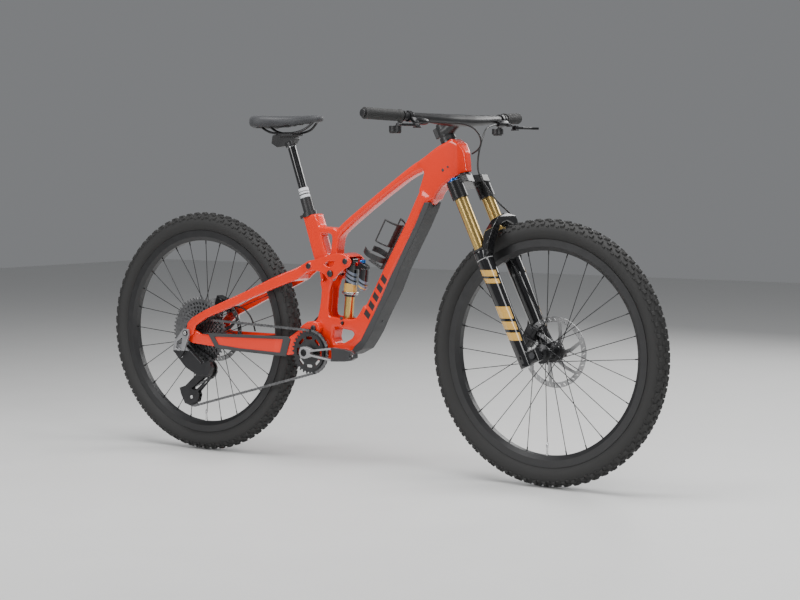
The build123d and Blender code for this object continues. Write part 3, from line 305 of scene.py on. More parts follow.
# The shock's can: gold sleeve at its foot, blue-grey slanted bars above it.
canSlant = (shockUp[0] + 0.5 * shockUp[2], 0, shockUp[2] - 0.5 * shockUp[0])
canMarks = [([(shockFoot, shockUp, 0.0932, 0.118)], gold)]
canMarks += [([(shockFoot, canSlant, low, low + 0.008)], (0.16, 0.19, 0.25)) for low in (0.124, 0.137, 0.150)]
shockPaint = finish("shockPaint", (0.006, 0.006, 0.007), (0.010, 0.010, 0.011), (0.12, 0.2), coat=0.5,
                    bump=0.02, stripes=marks(canMarks))
# The post's outer tube: a silver band with two dark lines.
postMarks = [([(postFoot, postUp, 0.0535, 0.0835)], (0.62, 0.63, 0.65))]
postMarks += [(
    [(postFoot, postUp, low, high)], (0.05, 0.05, 0.05),
) for low, high in ((0.062, 0.066), (0.072, 0.074))]
postPaint = finish("postSleeve", (0.014, 0.014, 0.015), (0.022, 0.022, 0.023), (0.3, 0.42), bump=0.06,
                   stripes=marks(postMarks))
silver = finish("silverAlloy", (0.60, 0.60, 0.61), (0.75, 0.75, 0.75), (0.18, 0.3), metallic=1.0, bump=0.04)
redAnodised = finish(
    "redAnodised", (0.55, 0.02, 0.02), (0.62, 0.03, 0.03), (0.22, 0.32), metallic=1.0, bump=0.04,
)
# The coral paint reflects less at its edges than the other finishes.
for paint in (finishes["frame_paint"], framePaint):
    shader = paint.node_tree.nodes["Principled BSDF"]
    shader.inputs["Specular IOR Level"].default_value = 0.25
    shader.inputs["Coat IOR"].default_value = 1.38
crownBlack = finish("crownBlack", (0.005, 0.005, 0.0055), (0.009, 0.009, 0.0095), (0.22, 0.32), bump=0.04)
# The right arm's fork and eye are bare alloy, the rest dark.
crankMarks = [([(middle, forward, -0.20, -0.068), (middle, leftward, -0.09, -0.064)], (0.32, 0.32, 0.33))]
crankPaint = finish("crankPaint", (0.030, 0.030, 0.032), (0.045, 0.045, 0.048), (0.28, 0.4), metallic=0.35,
                    coat=0.2, pattern="weave", bumpScale=700, bump=0.05, stripes=marks(crankMarks))
# The upper half of the derailleur's outer plate is bare alloy.
plateMarks = [([(middle, leftward, -0.1, -0.0876), (middle, upward, 0.318, 0.42)], (0.30, 0.30, 0.31))]
derailleurPaint = finish("derailleurPaint", (0.022, 0.022, 0.024), (0.040, 0.040, 0.042), (0.28, 0.42),
                         metallic=0.5, bump=0.06, stripes=marks(plateMarks))

# Every CAD node starts with the finish of its slot.
slotOf = {part["node"]: part["material_slot"] for part in frame["record"]["subparts"]}
for name, slotName in slotOf.items():
    cadPiece = bpy.data.objects[name]
    if not cadPiece.material_slots:
        cadPiece.data.materials.append(finishes[slotName])
    for place in cadPiece.material_slots:
        place.material = finishes[slotName]
print("materials made")


# Mesh helpers
# Vertices and faces become a piece: doubles merged, normals outwards, edges sharp above the given angle.
def addPiece(name, vertices, faces, body, slotName, material=None, sharp=35, ride=True):
    mesh = bpy.data.meshes.new(name)
    mesh.from_pydata(np.asarray(vertices).reshape(-1, 3).tolist(), [], faces)
    work = bmesh.new()
    work.from_mesh(mesh)
    bmesh.ops.remove_doubles(work, verts=work.verts, dist=1e-6)
    bmesh.ops.recalc_face_normals(work, faces=work.faces)
    work.to_mesh(mesh)
    work.free()
    mesh.polygons.foreach_set("use_smooth", np.ones(len(mesh.polygons), dtype=bool))
    mesh.set_sharp_from_angle(angle=radians(sharp))
    piece = bpy.data.objects.new(name, mesh)
    bpy.context.scene.collection.objects.link(piece)
    mesh.materials.append(material or finishes[slotName])
    if ride:
        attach(piece, body)
    return piece


# Faces of a grid of rows by columns: each cell is a quad, and either direction may close on itself.
def gridFaces(rows, columns, closeRows=False, closeColumns=True, start=0):
    index = np.arange(rows * columns).reshape(rows, columns) + start
    if closeRows:
        index = np.vstack([index, index[:1]])
    if closeColumns:
        index = np.hstack([index, index[:, :1]])
    quads = np.stack([index[:-1, :-1], index[1:, :-1], index[1:, 1:], index[:-1, 1:]], axis=-1)
    return quads.reshape(-1, 4).tolist()


# Two unit vectors square to a direction.
def squareTo(direction):
    direction = direction / np.linalg.norm(direction)
    helper = np.array([0.0, 1.0, 0.0]) if abs(direction[1]) < 0.9 else np.array([1.0, 0.0, 0.0])
    first = np.cross(direction, helper)
    first /= np.linalg.norm(first)
    return direction, first, np.cross(direction, first)


# A turned form: each (distance, radius) of the profile is a circle square to the axis, closed at both ends.
def turned(start, end, profile, sides=48):
    axis, first, second = squareTo(np.asarray(end) - np.asarray(start))
    profile = np.asarray(profile, dtype=float) * mm
    profile = np.vstack([[profile[0, 0], 0.0], profile, [profile[-1, 0], 0.0]])
    turn = np.linspace(0, 2 * pi, sides, endpoint=False)
    circle = np.cos(turn)[:, None] * first + np.sin(turn)[:, None] * second
    points = np.asarray(start) + profile[:, 0, None, None] * axis + profile[:, 1, None, None] * circle[None]
    return points.reshape(-1, 3), len(profile), sides


# The same form as a piece of its own.
def turnedPiece(name, start, end, profile, body, slotName, material=None, sides=48, sharp=35):
    points, rows, columns = turned(start, end, profile, sides)
    return addPiece(name, points, gridFaces(rows, columns), body, slotName, material, sharp)


# Several forms in one mesh, as (points, rows, columns) of closed grids.
def joinedPiece(name, forms, body, slotName, material=None, sharp=35, ride=True):
    points, faces, start = [], [], 0
    for vertices, rows, columns in forms:
        points.append(vertices)
        faces += gridFaces(rows, columns, start=start)
        start += len(vertices)
    return addPiece(name, np.vstack(points), faces, body, slotName, material, sharp, ride)


# A bolt head: circles of the given radius with a chamfer, and a six-sided socket sunk in it.
def boltForm(centre, direction, radius, height=2.2, socket=0.5, sides=36):
    axis, first, second = squareTo(np.asarray(direction, dtype=float))
    turn = np.linspace(0, 2 * pi, sides, endpoint=False)
    hexagon = cos(pi / 6) / np.cos((turn + pi / 6) % (pi / 3) - pi / 6)
    circle = np.ones(sides)
    chamfer, sunk, floorLevel = 0.14 * radius, 0.4, 0.25 * height
    rings = [
        (0, -sunk, circle), (radius, -sunk, circle), (radius, height - chamfer, circle),
        (radius - chamfer, height, circle), (radius * socket, height, hexagon),
        (radius * socket * 0.96, floorLevel, hexagon), (0, floorLevel, circle),
    ]
    spread = np.cos(turn)[:, None] * first + np.sin(turn)[:, None] * second
    layers = []
    for size, level, outline in rings:
        layers.append((size * mm * outline)[:, None] * spread + np.asarray(centre) + level * mm * axis)
    return np.vstack(layers), len(rings), sides


# Nodes joined on a fine voxel grid, then smoothed: each round moves a vertex part of the way to its
# neighbours' mean.
def voxelMesh(name, nodes, voxel, rounds, factor):
    work = bmesh.new()
    for part in nodes:
        work.from_mesh(bpy.data.objects[part].data)
    bmesh.ops.remove_doubles(work, verts=work.verts, dist=1e-6)
    mesh = bpy.data.meshes.new(name + "Rough")
    work.to_mesh(mesh)
    work.free()
    rough = bpy.data.objects.new(name + "Rough", mesh)
    bpy.context.scene.collection.objects.link(rough)
    remesh = rough.modifiers.new("voxels", "REMESH")
    remesh.mode = "VOXEL"
    remesh.voxel_size = voxel * mm
    remesh.adaptivity = 0.0
    smooth = rough.modifiers.new("smooth", "SMOOTH")
    smooth.iterations = rounds
    smooth.factor = factor
    graph = bpy.context.evaluated_depsgraph_get()
    final = bpy.data.meshes.new_from_object(rough.evaluated_get(graph))
    final.name = name
    bpy.data.objects.remove(rough)
    bpy.data.meshes.remove(mesh)
    final.polygons.foreach_set("use_smooth", np.ones(len(final.polygons), dtype=bool))
    final.materials.clear()
    return final


# A skin with rounded edges over one or more nodes, which it stands for.
def moulded(name, nodes, body, slotName, voxel, rounds, material=None):
    final = voxelMesh(name, nodes, voxel, rounds, 0.5)
    final.materials.append(material or finishes[slotName])
    piece = bpy.data.objects.new(name, final)
    bpy.context.scene.collection.objects.link(piece)
    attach(piece, body)
    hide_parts(*nodes)


# A round hose along a smooth spline that its route's points control; it rides on no body.
def hosePiece(name, route):
    curve = bpy.data.curves.new(name + "Line", "CURVE")
    curve.dimensions = "3D"
    curve.bevel_depth = hoseRadius * mm
    curve.bevel_resolution = 4
    curve.resolution_u = 10
    curve.use_fill_caps = True
    spline = curve.splines.new("NURBS")
    spline.points.add(len(route) - 1)
    spline.points.foreach_set("co", np.hstack([np.asarray(route), np.ones((len(route), 1))]).ravel())
    spline.order_u = 3
    spline.use_endpoint_u = True
    holder = bpy.data.objects.new(name + "Line", curve)
    bpy.context.scene.collection.objects.link(holder)
    graph = bpy.context.evaluated_depsgraph_get()
    mesh = bpy.data.meshes.new_from_object(holder.evaluated_get(graph))
    bpy.data.objects.remove(holder)
    vertices = np.empty(len(mesh.vertices) * 3)
    mesh.vertices.foreach_get("co", vertices)
    faces = [list(face.vertices) for face in mesh.polygons]
    bpy.data.meshes.remove(mesh)
    piece = addPiece(name, vertices, faces, None, "hose_jacket", ride=False)
    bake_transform(piece)
    return piece


# Skins: name, nodes, body, slot, voxel in millimetres, smoothing rounds and, if any, a paint of its own
skins = [
    ("frameShell", ["head_tube", "top_tube", "down_tube", "seat_tube", "lower_frame"], "frame",
     "frame_paint", 2.2, 26,
     framePaint),
    ("downTubeGuard", ["down_tube_guard"], "frame", "guard_rubber", 1.6, 5),
    ("chainstays", ["chainstay"], "chainstay", "frame_paint", 1.6, 8),
    ("seatstays", ["seatstay"], "seatstay", "frame_paint", 1.5, 8),
    ("rocker", ["rocker_link"], "rocker", "frame_paint", 0.9, 6),
    ("stayGuard", ["chainstay_guard"], "chainstay", "guard_rubber", 0.9, 3),
    ("forkLowers", ["fork_lowers"], "sliders", "gloss_black", 1.6, 6, forkPaint),
    ("forkCrown", ["crown_steerer"], "steering", "satin_black", 1.3, 3, crownBlack),
    ("frontCaliper", ["front_caliper"], "sliders", "lever_alloy", 0.8, 3),
    ("rearCaliper", ["rear_caliper"], "seatstay", "lever_alloy", 0.8, 3),
    ("shockCan", ["shock_body"], "shock_body", "gloss_black", 0.8, 4, shockPaint),
    ("crankArms", ["crankset"], "crank", "crank_carbon", 1.1, 5, crankPaint),
    ("derailleurBody", ["derailleur_body"], "chainstay", "derailleur_alloy", 0.9, 5, derailleurPaint),
    ("derailleurCage", ["derailleur_cage"], "derailleur_cage", "derailleur_alloy", 0.6, 3),
    ("bottleHolder", ["bottle_cage"], "frame", "cage_plastic", 1.2, 5),
    ("postHead", ["seatpost_head"], "seat", "satin_black", 1.0, 5),
    ("barAndStem", ["handlebar"], "steering", "satin_black", 1.3, 5),
    ("leverBodies", ["brake_lever_bodies"], "steering", "lever_alloy", 0.8, 3),
    ("leverRight", ["brake_lever_right"], "brake_lever_right", "lever_alloy", 0.7, 4),
    ("leverLeft", ["brake_lever_left"], "brake_lever_left", "lever_alloy", 0.7, 4),
    ("pods", ["control_pods"], "steering", "satin_black", 0.7, 3),
]
for skin in skins:
    moulded(*skin)
for place in bpy.data.objects["seatpost_outer"].material_slots:
    place.material = postPaint
print("skins made")

grip = {"inner": 268, "outer": 396, "radius": 15.0, "flange": 17.6, "ribHeight": 0.9, "ribPitch": 4.0}


# Ribs: a smooth square wave along the grip, from a flange at the inner end to a low bead at the outer one.
def gripProfile():
    length = grip["outer"] - grip["inner"]
    along = np.linspace(0, length, 300)
    wave = np.tanh(5 * np.sin(2 * pi * along / grip["ribPitch"])) * 0.5 + 0.5
    ribbed = np.clip((along - 16) / 2, 0, 1) * np.clip((length - 8 - along) / 2, 0, 1)
    radius = grip["radius"] + grip["ribHeight"] * wave * ribbed
    radius += (grip["flange"] - grip["radius"]) * np.exp(-((along - 2) / 3.2) ** 4)
    radius += 1.4 * np.exp(-((along - length + 2.0) / 2.4) ** 4)
    return np.stack([along, radius], axis=1)


gripForms = [turned(
    onBar(side * grip["inner"]), onBar(side * grip["outer"]), gripProfile(),
) for side in (-1, 1)]
grips = joinedPiece("grips_ribbed", gripForms, "steering", "grip_rubber", sharp=60)
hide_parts("grips")
print("cockpit made")

# Tyre, in millimetres: the section is an ellipse round a circle about the axle.
tyre = {"sectionCentre": 340.5, "sectionRadius": 28.0, "sectionHalfWidth": 28.4, "rowCount": 72,
        "beadRadius": 311.2,
        "beadHalf": 14.5, "around": 180}

# One side's knobs: place in the row's pitch, degrees round the section, length, width, height and turn
knobHalf = [(0.00, 9.5, 10.5, 8.0, 4.6, 8), (0.50, 27.0, 11.0, 7.0, 4.4, -6), (0.15, 49.0, 11.5, 9.0, 4.6, 4),
            (0.62, 61.0, 8.0, 5.0, 3.0, 0)]
knobRow = []
for knob in knobHalf:
    for side in (1, -1):
        knobRow.append((knob[0], side * knob[1], *knob[2:5], side * knob[5]))


# Carcass: an ellipse round the section's centre, from bead to bead, turned about the axle.
def carcassForm(axle):
    sweep = np.radians(np.concatenate([[-150], np.linspace(-142, 142, 61), [150]]))
    radial = tyre["sectionCentre"] + tyre["sectionRadius"] * np.cos(sweep)
    across = tyre["sectionHalfWidth"] * np.sin(sweep)
    radial = np.concatenate([[tyre["beadRadius"]], radial, [tyre["beadRadius"]]])
    across = np.concatenate([[-tyre["beadHalf"]], across, [tyre["beadHalf"]]])
    turn = np.linspace(0, 2 * pi, tyre["around"], endpoint=False)
    points = np.stack(np.broadcast_arrays(
        radial[:, None] * np.cos(turn), across[:, None] + 0 * turn, radial[:, None] * np.sin(turn)),
        axis=-1) * mm + axle
    return points.reshape(-1, 3), gridFaces(len(radial), tyre["around"], closeRows=True)


# Knob: three rings of four corners, smaller towards the top, laid on the section at its turn and angle.
def knobForms(axle):
    rows = np.arange(tyre["rowCount"])
    knobs = np.array(knobRow, dtype=float)
    theta = ((rows[:, None] + knobs[None, :, 0]) / tyre["rowCount"] * 2 * pi).ravel()
    phi = np.radians(np.tile(knobs[:, 1], len(rows)))
    length, width, height = (np.tile(knobs[:, i], len(rows)) for i in (2, 3, 4))
    skew = np.radians(np.tile(knobs[:, 5], len(rows)))
    corners = np.array([(-1, -1), (1, -1), (1, 1), (-1, 1)]) * 0.5
    levels = np.array([(-1.2, 1.10), (0.86, 0.92), (1.0, 0.80)])
    along = np.concatenate([corners[:, 0] * size for _, size in levels])
    over = np.concatenate([corners[:, 1] * size for _, size in levels])
    up = np.repeat([level for level, _ in levels], 4)
    straightU, straightV = along[None] * length[:, None], over[None] * width[:, None]
    u = straightU * np.cos(skew)[:, None] - straightV * np.sin(skew)[:, None]
    v = straightU * np.sin(skew)[:, None] + straightV * np.cos(skew)[:, None]
    w = np.where(up[None] < 0, up[None], up[None] * height[:, None])
    radial = tyre["sectionCentre"] + tyre["sectionRadius"] * np.cos(phi)
    across = tyre["sectionHalfWidth"] * np.sin(phi)
    outward = np.stack([np.cos(phi) * np.cos(theta), np.sin(phi), np.cos(phi) * np.sin(theta)], axis=-1)
    tangent = np.stack([-np.sin(theta), 0 * theta, np.cos(theta)], axis=-1)
    sideways = np.cross(tangent, outward)
    base = np.stack([radial * np.cos(theta), across, radial * np.sin(theta)], axis=-1)
    points = base[:, None] + w[..., None] * outward[:, None]
    points = points + u[..., None] * tangent[:, None] + v[..., None] * sideways[:, None]
    ring = np.array([[0, 1, 5, 4], [1, 2, 6, 5], [2, 3, 7, 6], [3, 0, 4, 7], [4, 5, 9, 8], [5, 6, 10, 9],
                     [6, 7, 11, 10], [7, 4, 8, 11], [8, 9, 10, 11], [3, 2, 1, 0]])
    faces = ring[None] + 12 * np.arange(len(theta))[:, None, None]
    return points.reshape(-1, 3) * mm + axle, faces.reshape(-1, 4)


for end, axle in (("front", frontAxle), ("rear", rearAxle)):
    shell, shellFaces = carcassForm(axle)
    knobPoints, knobFaces = knobForms(axle)
    made = addPiece(end + "TyreTread", np.vstack([shell, knobPoints]),
                    shellFaces + (knobFaces + len(shell)).tolist(), end + "_wheel", "tyre_rubber", sharp=40)
    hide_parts(end + "_tyre")
print("tyres made")

# Chain, in millimetres
chain = {"pitch": 12.7, "plane": -50.5, "plateHalf": 4.0, "plateSides": 20, "pinHalf": 2.7, "rollerHalf": 1.3}


# The circle that the pins lie on: half the pitch over the sine of half a tooth's angle, to a hundredth.
def pitchRadius(teeth):
    return round(chain["pitch"] / (2 * sin(pi / teeth)), 2)


# Centre, pitch radius and sense of turn of the ring, the driven cog and the two pulleys
chainWheels = [((-170, 337), pitchRadius(32), 1), ((-622, 374), pitchRadius(21), 1),
               ((-565, 262), pitchRadius(14), -1), ((-632, 170), pitchRadius(14), 1)]


# Tangent points between each wheel and the next: the tangent leaves at the heading less the arc sine of the
# radii's difference over their distance.
def tangentPoints():
    contacts = []
    for (c1, r1, s1), (c2, r2, s2) in zip(chainWheels, chainWheels[1:] + chainWheels[:1]):
        across = np.array(c2, dtype=float) - np.array(c1)
        lean = np.arctan2(across[1], across[0]) - np.arcsin((s2 * r2 - s1 * r1) / np.hypot(*across))
        out = np.array([np.sin(lean), -np.cos(lean)])
        contacts.append((np.array(c1) + s1 * r1 * out, np.array(c2) + s2 * r2 * out))
    return contacts


# As many pitches as fit a length, at least two.
def linkCount(length):
    return max(2, int(round(length / chain["pitch"])))


# Points about a pitch apart along a straight run.
def runPoints(start, end):
    share = np.linspace(0, 1, linkCount(np.linalg.norm(end - start)) + 1)[:, None]
    return start + share * (end - start)


# Points about a pitch apart round a wheel, from where the chain arrives to where it leaves.
def arcPoints(centre, radius, turn, arrive, leave):
    a0 = np.arctan2(arrive[1] - centre[1], arrive[0] - centre[0])
    a1 = np.arctan2(leave[1] - centre[1], leave[0] - centre[0])
    swept = ((a1 - a0) * turn) % (2 * pi)
    angle = a0 + swept * turn * np.linspace(0, 1, linkCount(radius * swept) + 1)
    return np.stack([centre[0] + radius * np.cos(angle), centre[1] + radius * np.sin(angle)], axis=1)


# Links between neighbouring points: two waisted plates, outer and inner in turn, and a roller at each pin.
def linkForms(points, firstIndex):
    forms = []
    sides = chain["plateSides"]
    turn = np.linspace(0, 2 * pi, sides, endpoint=False)
    lateral = np.array([0, 0.001, 0])
    for i in range(len(points) - 1):
        a, b = points[i], points[i + 1]
        half = np.linalg.norm(b - a) / 2
        direction = (b - a) / (2 * half)
        across = np.array([-direction[1], direction[0]])
        u = (half + chain["plateHalf"]) * np.cos(turn)
        v = np.sign(np.sin(turn)) * np.minimum(np.abs(np.sin(turn)) * 6.5, chain["plateHalf"])
        v *= 1 - 0.28 * np.exp(-(u / 3.0) ** 2)
        near, far = (2.0, 2.6) if (firstIndex + i) % 2 == 0 else (1.4, 1.95)
        for side in (-1, 1):
            rings = []
            for offset, size in ((near, 0), (near, 1), (far, 1), (far, 0)):
                flat = (a + b)[None] / 2 + size * (u[:, None] * direction + v[:, None] * across)
                level = np.full(sides, chain["plane"] + side * offset)
                rings.append(np.stack([flat[:, 0], level, flat[:, 1]], axis=1) * mm)
            forms.append((np.vstack(rings), len(rings), sides))
        pin = np.array([a[0], chain["plane"] - chain["pinHalf"], a[1]]) * mm
        forms.append(turned(pin, pin + lateral, [(0, 1.6), (2 * chain["pinHalf"], 1.6)], 10))
        roller = np.array([a[0], chain["plane"] - chain["rollerHalf"], a[1]]) * mm
        forms.append(turned(roller, roller + lateral, [(0, 3.6), (2 * chain["rollerHalf"], 3.6)], 14))
    return forms


# One span of the chain: it rides on one body, or, given a pair, rides on none and keeps its place.
def chainSpan(name, points, firstIndex, body=None, pair=None):
    piece = joinedPiece(name, linkForms(points, firstIndex), body, "cog_steel", ride=pair is None)
    if pair:
        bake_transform(piece)
    return piece


# A point of the chain's own plane as a point of space.
def inPlane(point):
    return (float(point[0]) * mm, chain["plane"] * mm, float(point[1]) * mm)


contacts = tangentPoints()
upper, cogDrop, cageRun, lower = contacts
ringWrap, cogWrap, guideWrap, tensionWrap = [
    arcPoints(*wheel, contacts[k - 1][1], contacts[k][0]) for k, wheel in enumerate(chainWheels)]
upperMiddle = upper[0] + (upper[1] - upper[0]) * 0.5
cageShare = cageRun[0] + (cageRun[1] - cageRun[0]) * 0.6
lowerPoints = runPoints(*lower)
half = len(lowerPoints) // 2
spans = [
    ("chainOnRing", ringWrap, 0, "frame"),
    (
        "chainUpper", runPoints(*upper), 1, None,
        ("frame", "chainstay", inPlane(upper[0]), inPlane(upperMiddle)),
    ),
    ("chainOnCog", np.vstack([cogWrap, runPoints(*cogDrop)[1:], guideWrap[1:]]), 0, "chainstay"),
    ("chainInCage", runPoints(*cageRun), 1, None,
     ("chainstay", "derailleur_cage", inPlane(cageRun[0]), inPlane(cageShare))),
    ("chainOnTension", tensionWrap, 1, "derailleur_cage"),
    ("chainLowerRear", lowerPoints[:half + 1], 0, None,
     ("derailleur_cage", "chainstay", inPlane(lower[0]), inPlane(lowerPoints[half]))),
    ("chainLowerFront", lowerPoints[half:], half, None,
     ("chainstay", "frame", inPlane(lowerPoints[half]), inPlane(lower[1]))),
]
chainPieces = [chainSpan(*span) for span in spans]
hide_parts("chain")
print("chain made")

# Hoses: places in millimetres that each line is drawn towards
hoseRadius = 2.5
leverStart = {side: onBar(236 * side) + np.array([24, -53 * side, -14]) * mm for side in (-1, 1)}
frontTop = [(356, 130, 1008), (370, 76, 1000), (385, 30, 968), (388, 4, 918), (390, 0, 868)]
frontAlongFork = [
    (457, 60, 18), (415, 70, 50), (372, 66, 84), (322, 30, 99), (262, 6, 101), (200, -6, 99), (140, -16, 92),
    (98, -34, 78), (74, -44, 62),
]
barPlaces = [
    (358, -118, 1010), (378, -70, 1012), (400, -30, 998), (408, -8, 968), (396, 4, 938), (366, 8, 926),
]
pivotPlaces = [(-162.5, 12, 446), (-180, 14, 441), (-200, 24, 432), (-224, 36, 416), (-240, 42, 394)]
caliperPlaces = [
    (-470, 58, 376), (-476, 57, 402), (-490, 57, 426), (-512, 58, 443), (-536, 61, 451), (-559, 62, 450),
]


# Places in millimetres as points in metres.
def placed(places):
    return [np.array(place) * mm for place in places]


frontRoute = [leverStart[1]] + placed(frontTop) + [onSteering(*place) for place in frontAlongFork]
frontHose = hosePiece("frontBrakeHose", frontRoute)
hosePiece("barBrakeHose", [leverStart[-1]] + placed(barPlaces))
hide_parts("handlebar_hoses")
pivotHose = hosePiece("pivotHose", placed(pivotPlaces))
hosePiece("caliperHose", placed(caliperPlaces))
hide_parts("rear_brake_hose")
print("hoses made")

# Saddle: voxel and cap in millimetres, the pressure as the cloth takes it
saddleValues = {"voxel": 3.5, "rounds": 14, "pressure": 2.5, "cap": 2.0, "frames": 16}


# Padding: the cover is inflated as cloth; no point may move further than the cap.
def inflate(cover):
    cloth = cover.modifiers.new("padding", "CLOTH")
    cloth.settings.use_pressure = True
    cloth.settings.uniform_pressure_force = saddleValues["pressure"]
    cloth.settings.effector_weights.gravity = 0.0
    cloth.point_cache.frame_start = 1
    cloth.point_cache.frame_end = saddleValues["frames"]
    before = np.empty(len(cover.data.vertices) * 3)
    cover.data.vertices.foreach_get("co", before)
    for frameNumber in range(1, saddleValues["frames"] + 1):
        bpy.context.scene.frame_set(frameNumber)
    graph = bpy.context.evaluated_depsgraph_get()
    puffed = bpy.data.meshes.new_from_object(cover.evaluated_get(graph))
    after = np.empty(len(puffed.vertices) * 3)
    puffed.vertices.foreach_get("co", after)
    moved = (after - before).reshape(-1, 3)
    distance = np.linalg.norm(moved, axis=1, keepdims=True)
    moved *= np.minimum(1, saddleValues["cap"] * mm / np.maximum(distance, 1e-9))
    cover.modifiers.clear()
    cover.data.vertices.foreach_set("co", before + moved.ravel())
    bpy.context.scene.frame_set(1)


# The saddle's skin, padded and made finer by one subdivision.
def paddedSaddle():
    skin = voxelMesh("saddleCover", ["saddle"], saddleValues["voxel"], saddleValues["rounds"], 0.5)
    skin.materials.append(finishes["saddle_cover"])
    cover = bpy.data.objects.new("saddleCoverPiece", skin)
    bpy.context.scene.collection.objects.link(cover)
    inflate(cover)
    finer = cover.modifiers.new("finer", "SUBSURF")
    finer.levels = 1
    finer.render_levels = 1
    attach(cover, "seat")
    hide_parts("saddle")


paddedSaddle()
print("saddle padded")


# Small hardware
# Caps and bolts: (place, outward direction, radius, height), each a bolt form; places in millimetres.
def hardware(name, items, body, slotName, material=None):
    forms = [boltForm(
        np.array(place) * mm, direction, radius, height,
    ) for place, direction, radius, height in items]
    return joinedPiece(name, forms, body, slotName, material, sharp=30)


# The same cap on the left and on the right.
def bothSides(x, y, z, radius, height):
    return [((x, side * y, z), (0, side, 0), radius, height) for side in (-1, 1)]


hardware("rockerCaps", bothSides(-184, 39.6, 593, 9.2, 2.0) + bothSides(-48, 39.6, 611, 9.2, 2.0), "rocker",
         "pivot_steel")
frameCaps = bothSides(-104, 40.5, 573, 9.6, 2.0) + bothSides(-163, 44.0, 408, 9.0, 2.4)
hardware("frameCaps", frameCaps + bothSides(-66, 30.5, 427, 4.6, 1.6), "frame", "pivot_steel")
hardware("guardBolts", [
    ((243.5, 0, 776), tubeAhead, 3.6, 1.4), ((60, 0, 436), (0.88, 0, -0.48), 3.6, 1.4),
], "frame", "pivot_steel")
hardware("crankCaps", bothSides(-170, 83, 337, 11.5, 1.2), "crank", "hub_black", finishes["hub_black"])
hardware("derailleurBolts", [
    ((-565, -74, 262), rightward, 7.5, 2.0), ((-622, -101, 374), rightward, 6.0, 1.6),
    ((-646, -87.6, 300), rightward, 4.5, 1.6),
], "chainstay", "pivot_steel", silver)
hardware("cageBolts", [((-632, -59.4, 170), rightward, 5.5, 1.6)], "derailleur_cage", "pivot_steel", silver)
hardware("shockRedDial", [(tuple(onShock(178, 22, -9) / mm), rightward, 5.0, 3.0)], "shock_body",
         "blue_anodised",
         redAnodised)
hardware("forkDials", [(tuple(onSteering(550, 9, side * 70) / mm), steerUp, 7.0, 2.0) for side in (-1, 1)],
         "steering", "blue_anodised")

# Rubber plugs of the cable ports, discs sunk a little in the sides: x, distance from the middle, z, radius
portPlaces = [(289, 25.0, 880, 4.6), (306, 25.0, 889, 3.6), (-69, 29.0, 441, 5.0)]
ports = []
for x, y, z, radius in portPlaces:
    for side in (-1, 1):
        start = np.array([x, side * y, z]) * mm
        ports.append(turned(start, start + np.array([0, side, 0]), [
            (-2, radius), (0.9, radius), (1.5, radius - 0.8)], 28))
joinedPiece("cablePorts", ports, "frame", "guard_rubber")

# Silver rings on the shock's can and at the top of the seat post
shockRing = [(0, 14.6), (0, 23.6), (1.0, 24.7), (2.6, 24.7), (3.1, 23.7), (4.2, 23.7), (4.7, 24.7),
             (6.4, 24.7), (7.4, 23.6), (7.4, 14.6)]
postRing = [(0, 12.7), (0, 13.6), (1.7, 13.6), (1.7, 12.7)]
turnedPiece("shockRing", onShock(85.6), onShock(93), shockRing, "shock_body", "lever_alloy", silver, 64)
turnedPiece("postRing", onPost(214.3), onPost(216), postRing, "seat", "post_black", silver)

# Valve: stem, base nut and cap turned about the wheel's radius.
valveProfile = [
    (0, 3.0), (0.5, 5.0), (3.5, 5.0), (4.0, 2.9), (22, 2.9), (22.5, 3.6), (33, 3.6), (35, 2.4), (38, 1.4),
]
nippleProfile = [(0, 1.2), (1, 1.9), (10, 1.9), (12, 2.1)]
# Lockring over each rotor's centre: a plain stepped ring.
lockringProfile = [(0, 11.0), (0, 20.5), (1.6, 20.5), (2.4, 19.5), (2.4, 15.0), (3.2, 14.2), (3.2, 11.0)]
wheelParts = {"valveFoot": 285.5, "spokes": 28, "spokeLean": 55, "hubCircle": 25, "rimCircle": 284.6,
              "rimOffset": 2.5,
              "nipple": 11.5, "flanges": {"front": (24.0, 32.0), "rear": (36.0, 12.0)},
              "lockring": {"front": 40.9, "rear": 55.5}}


# Nipples: each lies on the line from the spoke's place on the flange to its place in the rim.
def nippleForms(axle, flanges):
    forms = []
    for i in range(wheelParts["spokes"]):
        angle = 2 * pi * i / wheelParts["spokes"]
        hubAngle = angle + radians(wheelParts["spokeLean"]) * (1 if i // 2 % 2 else -1)
        flange = flanges[0] if i % 2 else -flanges[1]
        hubReach, rimReach = wheelParts["hubCircle"], wheelParts["rimCircle"]
        rimSide = wheelParts["rimOffset"] * (1 if flange > 0 else -1)
        hubEnd = axle + np.array([hubReach * cos(hubAngle), flange, hubReach * sin(hubAngle)]) * mm
        rimEnd = axle + np.array([rimReach * cos(angle), rimSide, rimReach * sin(angle)]) * mm
        toRim = (rimEnd - hubEnd) / np.linalg.norm(rimEnd - hubEnd)
        forms.append(turned(rimEnd - wheelParts["nipple"] * mm * toRim, rimEnd, nippleProfile, 8))
    return forms


for end, axle in (("front", frontAxle), ("rear", rearAxle)):
    foot = axle + np.array([0, 0, -wheelParts["valveFoot"]]) * mm
    turnedPiece(
        end + "Valve", foot, foot + np.array(upward), valveProfile, end + "_wheel", "pivot_steel", silver,
        24,
    )
    joinedPiece(end + "Nipples", nippleForms(axle, wheelParts["flanges"][end]), end + "_wheel", "spoke_steel")
for end, axle in (("front", frontAxle), ("rear", rearAxle)):
    start = axle + np.array([0, wheelParts["lockring"][end], 0]) * mm
    turnedPiece(
        end + "Lockring", start, start + np.array(leftward), lockringProfile, end + "_wheel", "hub_black",
    )
print("hardware made")


# The turn that points a camera or a lamp from its place at a target.
def facing(place, target):
    return (Vector(target) - Vector(place)).to_track_quat("-Z", "Y").to_euler()


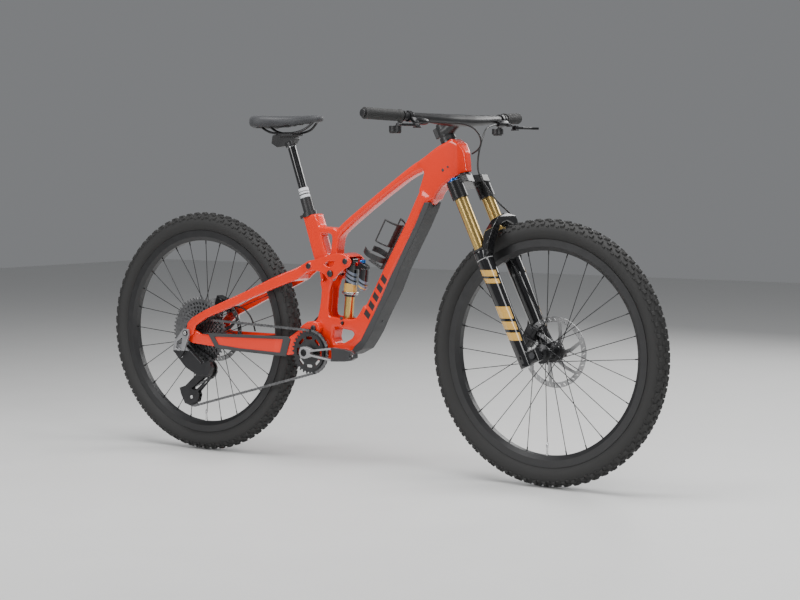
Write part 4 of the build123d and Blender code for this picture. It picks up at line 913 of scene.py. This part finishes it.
# Camera
cameraValues = {
    "place": (3.2622, -4.4952, 0.8927), "target": (0.12282, 0.0, 0.5016), "lens": 84.8, "sensor": 36,
}
cameraData = bpy.data.cameras.new("camera")
cameraData.lens = cameraValues["lens"]
cameraData.sensor_width = cameraValues["sensor"]
camera = bpy.data.objects.new("camera", cameraData)
camera.location = cameraValues["place"]
camera.rotation_euler = facing(cameraValues["place"], cameraValues["target"])
bpy.context.scene.collection.objects.link(camera)
bpy.context.scene.camera = camera


# A rectangular lamp that points at its target.
def areaLight(name, place, target, size, power):
    light = bpy.data.lights.new(name, "AREA")
    light.shape = "RECTANGLE"
    light.size, light.size_y = size
    light.energy = power
    light.color = (1, 1, 1)
    lamp = bpy.data.objects.new(name, light)
    lamp.location = place
    lamp.rotation_euler = facing(place, target)
    bpy.context.scene.collection.objects.link(lamp)


# Lights: name, place, target, size and power; then the sky's colour and strength
lightValues = [
    ("topLight", (0.4, -0.4, 3.4), (0, 0, 0.4), (3.4, 1.6), 150),
    ("keyLight", (-1.6, -4.2, 2.2), (0, 0, 0.6), (2.2, 1.6), 95),
    ("fillLight", (3.8, -1.6, 1.8), (0, 0, 0.6), (1.2, 2.4), 60),
    ("backLight", (0.5, 3.8, 2.2), (0, 0, 0.6), (3.0, 1.2), 70),
]
skyValues = {"color": (0.85, 0.87, 0.90, 1), "strength": 0.24}
for lamp in lightValues:
    areaLight(*lamp)
world = bpy.data.worlds.new("softSky")
world.use_nodes = True
world.node_tree.nodes["Background"].inputs["Color"].default_value = skyValues["color"]
world.node_tree.nodes["Background"].inputs["Strength"].default_value = skyValues["strength"]
bpy.context.scene.world = world

floorMesh = bpy.data.meshes.new("floor")
floorMesh.from_pydata([(-9, -9, 0), (9, -9, 0), (9, 9, 0), (-9, 9, 0)], [], [(0, 1, 2, 3)])
floor = bpy.data.objects.new("floor", floorMesh)
bpy.context.scene.collection.objects.link(floor)
floorMesh.materials.append(finish("floorPaint", (0.72, 0.72, 0.71), (0.75, 0.75, 0.74), (0.5, 0.6), scale=6,
                                  bump=0.05))
print("camera and light set")
